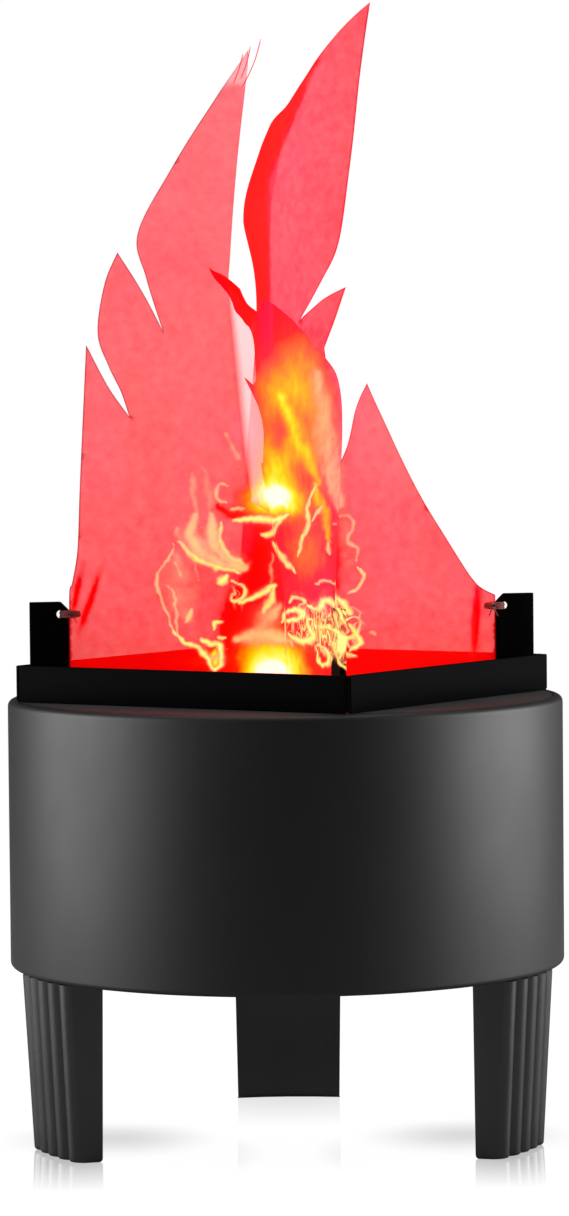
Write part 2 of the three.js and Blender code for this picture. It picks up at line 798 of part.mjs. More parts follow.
function clothGeometry(edgeShares, spanFrom, spanTo, offsetAt, ...ringRadii) {
  const reach = silkSpan;
  const outline = plate(outlineOf(edgeShares), 2 * reach).rotateX(Math.PI / 2).translate(0, reach, 0);
  const sheet = foldedSheet(spanFrom - cutOverrun, spanTo + cutOverrun, offsetAt);
  const cloth = common(sheet, outline).translate(0, 0, silkFootZ);
  return cut(cloth, ...ringRadii.map(ringHole));
}

// The wide sheet billows one way on the left and the other way on the right, and lies still at the
// middle seam and at the posts

function wideOffset(across, up) {
  const toPost = THREE.MathUtils.clamp(Math.abs(across), 0, 1);
  const rising = smoothStep(up, wideRiseShares);
  const billow = wideBillow * Math.sin(Math.PI * THREE.MathUtils.clamp(across, -1, 1));
  const swell = 4 * toPost * (1 - toPost);
  const ripple = wideRipple * swell * Math.sin(2 * Math.PI * wideRipples * toPost + rippleDrift * up);
  return (billow + ripple) * rising;
}

// The front leaf bellies towards the right near its post, leans left near the seam, and curls
// further left at its small tip

function frontOffset(across, up) {
  const lean = smoothStep(up, frontLeanShares) * (frontBelly * across - frontLean);
  const [curlFrom, curlTo] = frontCurlShares;
  const curled = THREE.MathUtils.clamp((up - curlFrom) / (curlTo - curlFrom), 0, 1);
  const curl = curled * Math.sqrt(curled);
  return lean - frontCurl * curl;
}

// The rear leaf folds over to the right near the seam, most of all at the tall tip, and bulges to
// the left below it

function rearOffset(across, up) {
  const [tipFrom, tipTo] = rearTipShares;
  const tip = THREE.MathUtils.clamp((up - tipFrom) / (tipTo - tipFrom), 0, 1) ** 2;
  const lean = rearLean * smoothStep(up, rearLeanShares) + rearTipLean * tip;
  const fold = Math.exp(-Math.max(across * silkSpan - leafSeamInset, 0) / rearFoldReach);
  const bulge = Math.exp(-(((up - rearBulgeShare) / rearBulgeWidthShare) ** 2));
  const outward = THREE.MathUtils.clamp(across / rearBulgeReachShare, 0, 1);
  return rearBulge * bulge * outward - lean * fold;
}

function leafGeometry(edgeShares, offsetAt) {
  const scaleIn = (silkSpan - leafSeamInset) / silkSpan;
  const leafShares = edgeShares.map((edge) => edge.map(([across, up]) => [1 - (1 - across) * scaleIn, up]));
  return clothGeometry(leafShares, 0, silkSpan, offsetAt, ringCentre - ringRadius);
}

function silkFrame() {
  const parts = [];
  railNames.forEach((name, k) => {
    const rail = piece(`frame_rail_${name}`, railGeometry(), 'mattBlack');
    parts.push(turnedGroup(quarterTurn * (k + 1 / 2), rail));
  });
  postNames.forEach((name, k) => {
    const post = piece(`corner_post_${name}`, postGeometry(), 'mattBlack');
    const ring = piece(`silk_ring_${name}`, ringGeometry(), 'thread');
    parts.push(turnedGroup(quarterTurn * k, post, ring));
  });
  const wideRings = [ringCentre - ringRadius, ringRadius - ringCentre];
  const wide = clothGeometry(wideEdgeShares, -silkSpan, silkSpan, wideOffset, ...wideRings);
  const front = leafGeometry(frontEdgeShares, frontOffset);
  const rear = leafGeometry(rearEdgeShares, rearOffset);
  parts.push(piece('silk_wide', wide, 'silkRed'));
  parts.push(turnedGroup(-quarterTurn, piece('silk_front', front, 'silkRed')));
  parts.push(turnedGroup(quarterTurn, piece('silk_rear', rear, 'silkRed')));
  return turnedGroup(frameTurn, ...parts);
}

// The fan: a square housing with the motor on four struts below, and the impeller over it

function fanHousing() {
  const corner = fanHalfSize - fanCornerRound;
  const outline = cornerSides.flatMap(([sideX, sideY], k) => {
    const from = quarterTurn * k;
    return arc(sideX * corner, sideY * corner, fanCornerRound, from, from + quarterTurn, roundSteps);
  });
  const lower = plate(outline, fanFlange).translate(0, 0, fanBottomZ);
  const upper = plate(outline, fanFlange).translate(0, 0, fanTopZ - fanFlange);
  const barrel = bar(fanBoreRadius + fanWall, fanDepth, fanSides).translate(0, 0, fanBottomZ);
  const toolHeight = fanDepth + 2 * cutOverrun;
  const toolZ = fanBottomZ - cutOverrun;
  const bore = bar(fanBoreRadius, toolHeight, fanSides).translate(0, 0, toolZ);
  const holes = atFanHoles(bar(fanHoleRadius, toolHeight, smallSides).translate(0, 0, toolZ));
  const frame = cut(join(lower, barrel, upper), bore, ...holes);
  const strutLength = fanBoreRadius + fanWall / 2;
  const struts = [];
  for (let k = 0; k < fanStruts; k += 1) {
    struts.push(box(strutLength, fanStrutWidth, fanFlange)
      .translate(strutLength / 2, 0, fanBottomZ)
      .rotateZ(360 / fanStruts * k * degree));
  }
  const pad = bar(fanHubRadius, fanFlange, mediumSides).translate(0, 0, fanBottomZ);
  const tube = bar(bearingTubeRadius, fanFlange + bearingLength, mediumSides).translate(0, 0, fanBottomZ);
  const socket = bar(bearingRadius + seatGap, bearingLength + fanFlange, mediumSides)
    .translate(0, 0, fanBottomZ + fanFlange / 2);
  return cut(join(frame, ...struts, pad, tube), socket);
}

function fanBearing() {
  const inner = shaftRadius + shaftPlay;
  const low = fanBottomZ + fanFlange / 2 + seatGap;
  return turned([
    [inner, low],
    [bearingRadius, low],
    [bearingRadius, low + bearingLength],
    [inner, low + bearingLength],
  ], mediumSides);
}

function fanShaft() {
  const low = fanBottomZ + fanFlange / 2 + 2 * seatGap;
  return bar(shaftRadius, hubTopZ - fanHubWall - seatGap - low, mediumSides).translate(0, 0, low);
}

function fanImpeller() {
  const inner = fanHubRadius - fanHubWall;
  const bossRadius = shaftRadius + shaftPlay + shaftBossWall;
  const cup = turned([
    [0, hubTopZ],
    [fanHubRadius, hubTopZ],
    [fanHubRadius, hubUnderZ],
    [inner, hubUnderZ],
    [inner, hubTopZ - fanHubWall],
    [bossRadius, hubTopZ - fanHubWall],
    [bossRadius, hubTopZ - fanHubWall - shaftBossDepth],
    [shaftRadius + shaftPlay, hubTopZ - fanHubWall - shaftBossDepth],
    [shaftRadius + shaftPlay, hubTopZ - fanHubWall],
    [0, hubTopZ - fanHubWall],
  ], mediumSides);
  const reach = fanBoreRadius - bladeTipGap;
  const sweep = turned([
    [fanHubRadius - fanHubWall / 2, hubUnderZ],
    [reach, hubUnderZ],
    [reach, hubTopZ],
    [fanHubRadius - fanHubWall / 2, hubTopZ],
  ], fanSides);
  const blades = [];
  for (let k = 0; k < fanBlades; k += 1) {
    blades.push(common(bladeGeometry().rotateZ(360 / fanBlades * k * degree), sweep));
  }
  return join(cup, ...blades);
}

// One twisted, cambered blade along +X

function bladeGeometry() {
  const outline = [];
  for (const side of [-1, 1]) {
    for (let i = 0; i <= bladeSteps; i += 1) {
      const along = side * (2 * i / bladeSteps - 1) * bladeChord / 2;
      const lift = bladeCamber * (1 - (2 * along / bladeChord) ** 2);
      outline.push(new THREE.Vector2(along, lift - side * bladeThickness / 2));
    }
  }
  const middleZ = (hubUnderZ + hubTopZ) / 2;
  const ends = [[fanHubRadius - fanHubWall, bladeRootPitch], [fanBoreRadius, bladeTipPitch]];
  const sections = ends.map(([radius, pitch]) => outline.map((point) => {
    const turnedPoint = point.clone().rotateAround(new THREE.Vector2(0, 0), pitch * degree);
    return new THREE.Vector3(radius, turnedPoint.x, middleZ + turnedPoint.y);
  }));
  return loft(sections, outline);
}

function fanMagnet() {
  const outer = fanHubRadius - fanHubWall - seatGap;
  const low = hubUnderZ + seatGap;
  return turned([
    [outer - magnetThickness, low],
    [outer, low],
    [outer, low + magnetHeight],
    [outer - magnetThickness, low + magnetHeight],
  ], mediumSides);
}

// The wound stator: four T-shaped poles on a ring, each with its coil

function fanStator() {
  const coreRadius = bearingTubeRadius + seatGap + statorHeadDepth;
  const low = hubFloorZ + seatGap + coilBulge;
  let stator = bar(coreRadius, statorHeight, mediumSides).translate(0, 0, low);
  for (let k = 0; k < statorPoles; k += 1) {
    const angle = 360 / statorPoles * (k + 1 / 2) * degree;
    const neckLength = statorRadius - statorHeadDepth / 2;
    const neck = box(neckLength, statorPoleWidth, statorHeight).translate(neckLength / 2, 0, low);
    const head = box(statorHeadDepth, 3 * statorPoleWidth, statorHeight)
      .translate(statorRadius - 2 * statorHeadDepth + statorHeadDepth / 2, 0, low);
    const coilLength = statorRadius - 2 * statorHeadDepth - coreRadius + joinOverlap;
    const coil = box(coilLength, statorPoleWidth + 2 * coilBulge, statorHeight + 2 * coilBulge)
      .translate(coreRadius + coilLength / 2 - joinOverlap / 2, 0, low - coilBulge);
    stator = join(stator, neck.rotateZ(angle), head.rotateZ(angle), coil.rotateZ(angle));
  }
  const toolHeight = statorHeight + 4 * coilBulge;
  const toolZ = low - 2 * coilBulge;
  const bore = bar(bearingTubeRadius + seatGap, toolHeight, mediumSides).translate(0, 0, toolZ);
  const rim = bar(statorRadius, toolHeight, fanSides).translate(0, 0, toolZ);
  return cut(common(stator, rim), bore);
}

function fan() {
  const headZ = bracketFootTopZ + seatGap;
  const screw = screwGeometry(headZ - plateTopZ - seatGap).translate(0, 0, headZ);
  const screws = atFanHoles(screw).map((copy, k) => piece(`fan_screw_${k + 1}`, copy, 'steel'));
  return [
    piece('fan_housing', fanHousing(), 'mattBlack'),
    piece('fan_impeller', fanImpeller(), 'mattBlack'),
    piece('fan_shaft', fanShaft(), 'steel'),
    piece('fan_bearing', fanBearing(), 'brass'),
    piece('fan_magnet_ring', fanMagnet(), 'magnet'),
    piece('fan_stator', fanStator(), 'copper'),
    ...screws,
  ];
}

// The lamp: a bracket that stands on the fan's corners, with a heat sink below and a board above

function lampBracket() {
  const cornerReach = fanHoleReach * Math.SQRT2;
  const riserReach = cornerReach - bracketRiserInset;
  const armZ = bracketTopZ - bracketThickness;
  let bracket = bar(bracketDiscRadius, bracketThickness, mediumSides).translate(0, 0, armZ);
  for (let k = 0; k < cornerSides.length; k += 1) {
    const angle = quarterTurn * (k + 1 / 2) * degree;
    const arm = box(riserReach, bracketArmWidth, bracketThickness).translate(riserReach / 2, 0, armZ);
    const riserHeight = bracketTopZ - fanTopZ - seatGap;
    const riser = box(bracketThickness, bracketArmWidth, riserHeight)
      .translate(riserReach - bracketThickness / 2, 0, fanTopZ + seatGap);
    const footLength = bracketRiserInset + bracketThickness + bracketFootReach;
    const foot = box(footLength, bracketArmWidth, bracketThickness)
      .translate(riserReach - bracketThickness + footLength / 2, 0, fanTopZ + seatGap);
    const hole = bar(fanHoleRadius, bracketThickness + 2 * cutOverrun, smallSides)
      .translate(cornerReach, 0, fanTopZ + seatGap - cutOverrun);
    bracket = join(bracket, arm.rotateZ(angle), riser.rotateZ(angle), cut(foot, hole).rotateZ(angle));
  }
  return bracket;
}

function heatSink() {
  const topZ = bracketTopZ - bracketThickness - seatGap;
  const low = topZ - sinkBase - sinkFinHeight;
  const body = bar(sinkRadius, sinkBase + sinkFinHeight, mediumSides).translate(0, 0, low);
  const pitch = 2 * sinkRadius / (sinkGrooves + 1 / 2);
  const grooves = [];
  for (let k = 0; k < sinkGrooves; k += 1) {
    grooves.push(box(2 * (sinkRadius + cutOverrun), pitch * 2 / 3, sinkFinHeight + cutOverrun)
      .translate(0, (k - (sinkGrooves - 1) / 2) * pitch, low - cutOverrun));
  }
  return cut(body, ...grooves);
}

function ledGeometry() {
  const low = lampBoardTopZ + seatGap;
  const domeZ = low + ledFlangeHeight + ledBodyHeight;
  return turned([
    [0, low],
    [ledFlangeRadius, low],
    [ledFlangeRadius, low + ledFlangeHeight],
    [ledDomeRadius, low + ledFlangeHeight],
    ...arc(0, domeZ, ledDomeRadius, 0, quarterTurn, domeSteps).slice(0, -1),
    [0, domeZ + ledDomeRadius],
  ], smallSides);
}

function lamp() {
  const lights = [piece('led_1', ledGeometry(), 'amberLens')];
  for (let k = 0; k < outerLeds; k += 1) {
    const led = ledGeometry().translate(ledCircle, 0, 0);
    lights.push(turnedGroup(360 / outerLeds * k, piece(`led_${k + 2}`, led, 'amberLens')));
  }
  const board = bar(lampBoardRadius, boardThickness, mediumSides).translate(0, 0, lampBoardZ);
  return [
    piece('led_bracket', lampBracket(), 'aluminium'),
    piece('led_heat_sink', heatSink(), 'aluminium'),
    piece('led_board', board, 'circuitWhite'),
    ...lights,
  ];
}

// The driver board stands beside the fan, with its parts on the side that faces the drum's wall

function driver() {
  const board = box(boardThickness, driverLength, driverHeight)
    .translate(driverX - boardThickness / 2, driverCentreY, driverBottomZ);
  const mountX = driverFaceX - seatGap;
  const transformerZ = driverBottomZ + driverHeight / 2 - transformerHeight / 2;
  const transformer = box(transformerDepth, transformerSize, transformerHeight)
    .translate(mountX - transformerDepth / 2, driverCentreY - transformerSize / 2, transformerZ);
  const capacitor = bar(capacitorRadius, capacitorLength, smallSides).rotateY(-Math.PI / 2)
    .translate(mountX, driverCentreY + 2 * capacitorRadius, driverBottomZ + 2 * capacitorRadius);
  const terminalZ = driverTopZ - terminalHeight - seatGap;
  const terminal = box(terminalDepth, terminalWidth, terminalHeight)
    .translate(mountX - terminalDepth / 2, driverCentreY + terminalWidth, terminalZ);
  return [
    piece('driver_board', board, 'circuitGreen'),
    piece('transformer', transformer, 'windingYellow'),
    piece('capacitor', capacitor, 'capSleeve'),
    piece('terminal_block', terminal, 'terminalGreen'),
  ];
}

// The rocker switch, its pin and the round inlet, on the flat recess at the back

function switchHousing() {
  const flangeLow = recessFaceY + seatGap;
  const body = box(switchBodyWidth, switchBodyDepth, switchBodyHeight)
    .translate(0, flangeLow - switchBodyDepth / 2 + joinOverlap, -switchBodyHeight / 2);
  const flangeHeight = switchBodyHeight + 2 * switchFlange;
  const flange = box(switchBodyWidth + 2 * switchFlange, switchFlangeDepth, flangeHeight)
    .translate(0, flangeLow + switchFlangeDepth / 2, -flangeHeight / 2);
  const backY = flangeLow - switchBodyDepth + joinOverlap;
  const tabs = [-1, 1].map((side) => box(tabWidth, tabLength + joinOverlap, tabThickness)
    .translate(0, backY - tabLength / 2 + joinOverlap / 2, side * switchBodyHeight / 4));
  const cavityDepth = switchFlangeDepth + rockerPivotInset + rockerBack + 2 * rockerPlay;
  const cavityHeight = 2 * (rockerHalfHeight + rockerPlay);
  const cavityTopY = flangeLow + switchFlangeDepth + cutOverrun;
  const cavityLength = cavityDepth + cutOverrun;
  const cavity = box(rockerWidth + 2 * seatGap, cavityLength, cavityHeight)
    .translate(0, cavityTopY - cavityLength / 2, -cavityHeight / 2);
  const pinHole = bar(rockerPinRadius + seatGap, 2 * switchBodyWidth, smallSides).rotateY(Math.PI / 2)
    .translate(-switchBodyWidth, rockerPivotY, 0);
  return cut(join(body, flange, ...tabs), cavity, pinHole);
}

// The rocker about its own pivot, in its OFF position

function rocker() {
  const outline = [
    [rockerProud, -rockerHalfHeight],
    [rockerProud - rockerDip, 0],
    [rockerProud, rockerHalfHeight],
    [-rockerBack / 2, rockerHalfHeight - rockerPlay],
    [-rockerBack, 0],
    [-rockerBack / 2, rockerPlay - rockerHalfHeight],
  ];
  const body = plate(outline, rockerWidth).translate(0, 0, -rockerWidth / 2);
  const bore = bar(rockerPinRadius + seatGap, rockerWidth + 2 * cutOverrun, smallSides)
    .translate(0, 0, -rockerWidth / 2 - cutOverrun);
  return cut(body, bore).rotateY(-Math.PI / 2).rotateX(-Math.PI / 2);
}

function rearControls() {
  const housing = switchHousing().translate(switchX, 0, recessCentreZ);
  const pinLength = switchBodyWidth - 2 * seatGap;
  const pin = bar(rockerPinRadius, pinLength, smallSides).rotateY(Math.PI / 2)
    .translate(switchX - pinLength / 2, rockerPivotY, recessCentreZ);
  const tilted = new THREE.Group();
  tilted.position.set(switchX, rockerPivotY, recessCentreZ);
  tilted.rotation.x = -rockerTilt * degree;
  tilted.add(piece('switch_rocker', rocker(), 'mattBlack'));
  return [
    piece('switch_housing', housing, 'mattBlack'),
    piece('switch_pin', pin, 'steel'),
    tilted,
    ...inlet(),
  ];
}

function inlet() {
  const flangeLow = recessFaceY + seatGap;
  const floorY = flangeLow + switchFlangeDepth - inletBoreDepth;
  const round = turned([
    [0, flangeLow - inletDepth],
    [inletBodyRadius, flangeLow - inletDepth],
    [inletBodyRadius, flangeLow],
    [inletFlangeRadius, flangeLow],
    [inletFlangeRadius, flangeLow + switchFlangeDepth],
    [inletBoreRadius, flangeLow + switchFlangeDepth],
    [inletBoreRadius, floorY],
    [inletPinRadius, floorY],
    [inletPinRadius, flangeLow],
    [0, flangeLow + inletPinRadius],
  ], mediumSides).rotateX(-Math.PI / 2);
  const tab = box(tabWidth, tabLength + joinOverlap, tabThickness)
    .translate(0, flangeLow - inletDepth - tabLength / 2 + joinOverlap / 2, 0);
  const nutY = recessFaceY - recessWall - seatGap;
  const nutBore = bar(inletBodyRadius + seatGap, inletNutThickness + 2 * cutOverrun, mediumSides);
  const nut = cut(bar(inletNutRadius, inletNutThickness, wireSides), nutBore.translate(0, 0, -cutOverrun));
  return [
    piece('power_inlet', join(round, tab).translate(inletX, 0, recessCentreZ), 'mattBlack'),
    piece('inlet_nut', nut.rotateX(Math.PI / 2).translate(inletX, nutY, recessCentreZ), 'steel'),
  ];
}

// The leads inside: tubes through points that follow the pieces they join

function leadGeometry(points) {
  const places = points.map(([x, y, z]) => new THREE.Vector3(x, y, z));
  const curve = new THREE.CatmullRomCurve3(places, false, 'centripetal');
  const section = new THREE.Shape();
  for (let i = 0; i < wireSides; i += 1) {
    const angle = 2 * Math.PI * i / wireSides;
    const place = [leadRadius * Math.cos(angle), leadRadius * Math.sin(angle)];
    if (i === 0) section.moveTo(...place);
    else section.lineTo(...place);
  }
  section.closePath();
  return new THREE.ExtrudeGeometry(section, { steps: leadSteps, extrudePath: curve, bevelEnabled: false });
}

function lampLead(side) {
  const overZ = lampBoardTopZ + leadRadius + leadSlack;
  const leadY = 2 * side * leadRadius;
  const boardX = driverX - boardThickness / 2;
  return leadGeometry([
    [boardX, leadY, driverTopZ + seatGap],
    [boardX, leadY, driverTopZ + leadSlack],
    [driverX + leadSlack, leadY, overZ - leadSlack],
    [(driverX - lampBoardRadius) / 2, leadY, overZ],
    [-bracketDiscRadius - leadSlack, leadY, lampBoardTopZ + leadRadius],
    [-lampBoardRadius - seatGap, leadY, lampBoardTopZ],
  ]);
}

function leads() {
  const tabBackY = recessFaceY + seatGap - switchBodyDepth - tabLength - seatGap + joinOverlap;
  const upperTabZ = recessCentreZ + switchBodyHeight / 4;
  const lowerTabZ = recessCentreZ - switchBodyHeight / 4;
  const cornerPass = aroundZ(drumInnerRadius - 2 * leadSlack, leadCornerAngle, upperTabZ);
  const columnPassRadius = drumInnerRadius - leadSlack / 2 - leadRadius;
  const columnPass = aroundZ(columnPassRadius, columnAngles[1], upperTabZ);
  const terminalX = driverFaceX - seatGap - terminalDepth / 2;
  const terminalY = driverCentreY + terminalWidth * 3 / 2 + seatGap;
  const terminalZ = driverTopZ - terminalHeight / 2;
  const switchLead = leadGeometry([
    [switchX, tabBackY, upperTabZ],
    [switchX, tabBackY - 2 * leadRadius, upperTabZ],
    [switchX - 2 * leadSlack, tabBackY - leadSlack, upperTabZ],
    [switchX - 5 * leadSlack, tabBackY, upperTabZ],
    [cornerPass.x, cornerPass.y, cornerPass.z],
    [columnPass.x, columnPass.y, columnPass.z],
    [terminalX - leadSlack, terminalY + 3 * leadSlack, terminalZ],
    [terminalX, terminalY + 2 * leadRadius, terminalZ],
    [terminalX, terminalY, terminalZ],
  ]);
  const inletBackY = recessFaceY + seatGap - inletDepth - tabLength - seatGap;
  const inletLead = leadGeometry([
    [inletX, inletBackY, recessCentreZ],
    [inletX, inletBackY - 2 * leadRadius, recessCentreZ],
    [switchX + 2 * leadSlack, tabBackY - leadSlack, lowerTabZ],
    [switchX, tabBackY - 2 * leadRadius, lowerTabZ],
    [switchX, tabBackY, lowerTabZ],
  ]);
  return [
    piece('lamp_lead_red', lampLead(1), 'leadRed'),
    piece('lamp_lead_black', lampLead(-1), 'leadBlack'),
    piece('switch_lead', switchLead, 'leadBlack'),
    piece('inlet_lead', inletLead, 'leadRed'),
  ];
}

const light = new THREE.Group();
light.add(
  piece('drum_shell', drumShell(), 'satinBlack'),
  piece('top_deck', topDeck(), 'satinBlack'),
  piece('bottom_plate', bottomPlate(), 'satinBlack'),
  ...legs(),
  ...baseScrews(),
  silkFrame(),
  ...fan(),
  ...lamp(),
  ...driver(),
  ...rearControls(),
  ...leads(),
);

export default light;
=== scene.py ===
"""The looks of a silk flame effect light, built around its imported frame.

Metres, +Z up, the front of the light looks along -Y. The black drum, its deck, legs and frame are
remade as finer meshes, the flame cloth as single sheets, and every node gets its own material.
"""

import json
import math
from contextlib import contextmanager

import bmesh
import bpy
import numpy as np
from mathutils import Matrix, Vector, noise as noise_field
from mathutils.geometry import delaunay_2d_cdt

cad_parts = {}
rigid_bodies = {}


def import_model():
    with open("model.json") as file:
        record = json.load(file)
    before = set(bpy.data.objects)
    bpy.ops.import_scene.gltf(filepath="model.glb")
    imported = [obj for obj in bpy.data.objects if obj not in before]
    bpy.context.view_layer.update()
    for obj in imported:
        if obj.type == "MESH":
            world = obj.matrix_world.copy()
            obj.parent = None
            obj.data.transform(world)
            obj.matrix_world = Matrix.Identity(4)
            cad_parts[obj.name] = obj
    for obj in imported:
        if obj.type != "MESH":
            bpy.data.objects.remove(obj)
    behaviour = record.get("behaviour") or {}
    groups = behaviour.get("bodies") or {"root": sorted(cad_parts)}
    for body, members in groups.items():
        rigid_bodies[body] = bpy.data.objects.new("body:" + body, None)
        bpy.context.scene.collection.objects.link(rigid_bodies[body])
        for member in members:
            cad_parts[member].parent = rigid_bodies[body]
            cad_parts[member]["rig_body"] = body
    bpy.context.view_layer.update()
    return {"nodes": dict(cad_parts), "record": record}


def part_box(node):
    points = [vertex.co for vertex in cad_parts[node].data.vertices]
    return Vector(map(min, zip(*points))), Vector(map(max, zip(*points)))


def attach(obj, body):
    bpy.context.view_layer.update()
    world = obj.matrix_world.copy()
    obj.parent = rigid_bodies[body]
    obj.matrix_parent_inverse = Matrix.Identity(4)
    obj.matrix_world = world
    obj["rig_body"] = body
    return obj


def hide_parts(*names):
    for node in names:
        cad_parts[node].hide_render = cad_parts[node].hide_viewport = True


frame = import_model()
nodes = frame["nodes"]

# The painted fire's swirls come from a noise field, which is random unless it has a seed
noise_field.seed_set(11)


# Sizes read from the frame

def radii(node):
    """The least and the greatest distance of a node's corners from the Z axis."""
    distances = [math.hypot(v.co.x, v.co.y) for v in nodes[node].data.vertices]
    return min(distances), max(distances)


def azimuth(node):
    """The direction in which a node lies from the Z axis, in radians."""
    low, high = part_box(node)
    middle = (low + high) / 2
    return math.atan2(middle.y, middle.x)


DRUM_RADIUS = radii("drum_shell")[1]
DRUM_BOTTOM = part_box("drum_shell")[0].z
DRUM_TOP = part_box("drum_shell")[1].z
DECK_RADIUS = radii("top_deck")[1]
PLATE_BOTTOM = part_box("bottom_plate")[0].z
FRAME_TURN = azimuth("corner_post_right")
POST_INNER = radii("corner_post_right")[0]
SILK_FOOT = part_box("silk_wide")[0].z
SILK_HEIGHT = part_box("silk_rear")[1].z - SILK_FOOT
FOOT_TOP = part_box("frame_rail_rear_left")[1].z
LEG_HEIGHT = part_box("leg_rear")[1].z

# Sizes that repeat the frame's own construction

DRUM_WALL = 0.0022
DRUM_TOP_ROUND = 0.0016
DRUM_BOTTOM_ROUND = 0.0012
LEDGE_THICKNESS = 0.002
DECK_LEDGE_WIDTH = 0.004
PLATE_LEDGE_WIDTH = 0.002
DECK_THICKNESS = 0.0026
PLATE_THICKNESS = 0.0025
SEAT_GAP = 0.0003
RECESS_HALF_WIDTH = 0.021
RECESS_DEPTH = 0.0041
RECESS_HEIGHT = 0.024
RECESS_WALL = 0.002
RECESS_RISE = 0.0233
SWITCH_X = -0.0095
SWITCH_HOLE_WIDTH = 0.0126
SWITCH_HOLE_HEIGHT = 0.0192
INLET_X = 0.0105
INLET_HOLE_RADIUS = 0.0042
CUT_OVERRUN = 0.002
LEG_INNER = 0.0575
LEG_OUTER = 0.0665
LEG_LEAN = 0.0024
LEG_HALF_ANGLE = math.radians(13.8)
LEG_TAPER_ANGLE = math.radians(0.7)
LEG_RIDGES = 5
LEG_FLUTE_DEPTH = 0.0015
LEG_FOOT_ROUND = 0.0009
GRILLE_RADIUS = 0.038
GRILLE_BAR = 0.0016
GRILLE_EYE = 0.011
GRILLE_RINGS = 3
GRILLE_SPOKES = 8
COLUMN_CIRCLE = 0.056
COLUMN_RADIUS = 0.0036
COLUMN_ANGLES = [math.radians(angle) for angle in (30, 150, 270)]
SLOT_LENGTH = 0.0056
SLOT_WIDTH = 0.0021
SLOT_CENTRE = 0.058
RING_CENTRE = 0.0529
RING_RADIUS = 0.0024
RING_Z = 0.1286
SILK_POST_GAP = 0.0006
SILK_SPAN = POST_INNER - SILK_POST_GAP
LEAF_SEAM_INSET = 0.0019

# The flame cloth's outlines and folds, as in the frame: shares of the span and of the height

def chained(start, rows):
    """Edges of an outline, each from where the one before it ends."""
    edges = []
    for row in rows:
        edges.append([start] + row)
        start = row[-1]
    return edges


WIDE_EDGES = chained((-1, 0), [
    [(-1, 0.14), (-0.985, 0.165), (-0.962, 0.211), (-0.95, 0.3), (-0.93, 0.43), (-0.918, 0.505)],
    [(-0.822, 0.444), (-0.73, 0.402)],
    [(-0.768, 0.438), (-0.821, 0.474), (-0.868, 0.522), (-0.835, 0.592), (-0.775, 0.637)],
    [(-0.648, 0.572), (-0.57, 0.525)],
    [(-0.645, 0.6), (-0.684, 0.663), (-0.529, 0.753), (-0.307, 0.86), (-0.152, 0.928)],
    [(-0.158, 0.9)],
    [(-0.212, 0.769), (-0.25, 0.638), (-0.258, 0.56), (-0.201, 0.375), (-0.153, 0.276)],
    [(0, 0.256), (0.16, 0.28), (0.297, 0.345), (0.358, 0.411), (0.418, 0.447)],
    [(0.488, 0.398), (0.645, 0.292), (0.837, 0.189), (0.926, 0.15), (1, 0.135)],
    [(1, 0)],
    [(-1, 0)],
])
FRONT_EDGES = chained((0, 0), [
    [(0, 0.3), (0.035, 0.335), (0.089, 0.371), (0.086, 0.395), (0.052, 0.417)],
    [(-0.027, 0.442), (-0.083, 0.457)],
    [(-0.04, 0.453), (0.01, 0.446)],
    [(0.04, 0.452), (0.044, 0.465), (0.033, 0.492), (0.024, 0.508), (0.003, 0.522)],
    [(-0.035, 0.54), (-0.044, 0.551), (-0.055, 0.562), (-0.035, 0.571)],
    [(-0.018, 0.582), (-0.016, 0.592), (-0.02, 0.605), (0.005, 0.62)],
    [(0.02, 0.613), (0.053, 0.604), (0.075, 0.592), (0.09, 0.58)],
    [(0.072, 0.57), (0.066, 0.56), (0.09, 0.548)],
    [(0.106, 0.56), (0.119, 0.567)],
    [(0.149, 0.568), (0.315, 0.553), (0.469, 0.529), (0.586, 0.513), (0.69, 0.495)],
    [(0.782, 0.478), (0.851, 0.462), (0.896, 0.441), (0.922, 0.417), (0.938, 0.38)],
    [(0.963, 0.26), (1, 0.14)],
    [(1, 0)],
    [(0, 0)],
])
REAR_EDGES = chained((0, 0), [
    [(0, 0.25), (0.04, 0.4), (0.11, 0.499)],
    [(0.06, 0.546), (0.022, 0.587)],
    [(0.12, 0.57), (0.26, 0.542)],
    [(0.115, 0.602), (0.045, 0.66), (0.02, 0.775), (0.014, 0.9), (0.01, 1)],
    [(0.085, 0.968), (0.197, 0.918), (0.368, 0.861), (0.575, 0.815), (0.69, 0.76), (0.73, 0.69)],
    [(0.71, 0.62), (0.74, 0.5), (0.85, 0.35), (0.95, 0.22), (1, 0.14)],
    [(1, 0)],
    [(0, 0)],
])
WIDE_BILLOW = 0.003
WIDE_RIPPLE = 0.0011
FRONT_LEAN = 0.0085
FRONT_BELLY = 0.013
FRONT_LEAN_RANGE = (0.074, 0.459)
REAR_LEAN = 0.018
REAR_LEAN_RANGE = (0.103, 0.548)
REAR_TIP_LEAN = 0.006
REAR_FOLD_REACH = 0.016
REAR_BULGE = 0.0032
REAR_BULGE_MIDDLE = 0.702
REAR_BULGE_SPREAD = 0.077
PLEAT_DEPTH = 0.0009
FOLD_DEPTHS = (0.00034, 0.00011)
CLOTH_STEP = 0.0013
FIRE_STEP = 0.00045
FIRE_TOP = 0.163
HEM_WIDTH = 0.0004
EDGE_GAP = 0.0001
GATHER_STEP = 0.0007
GATHER_FROM = 0.84
GATHER_TOP = 0.23
EDGE_STEPS = 10

# The wick, the tip of the front leaf that curls away from it
WICK_FOOT = 0.534
WICK_HEIGHT = 0.083
WICK_CURL = 0.0102
WICK_MIDDLE = 0.084
WICK_SLANT = 0.3
WICK_SLIT = 0.125
WICK_SLIT_FOOT = 0.544


# Mesh helpers

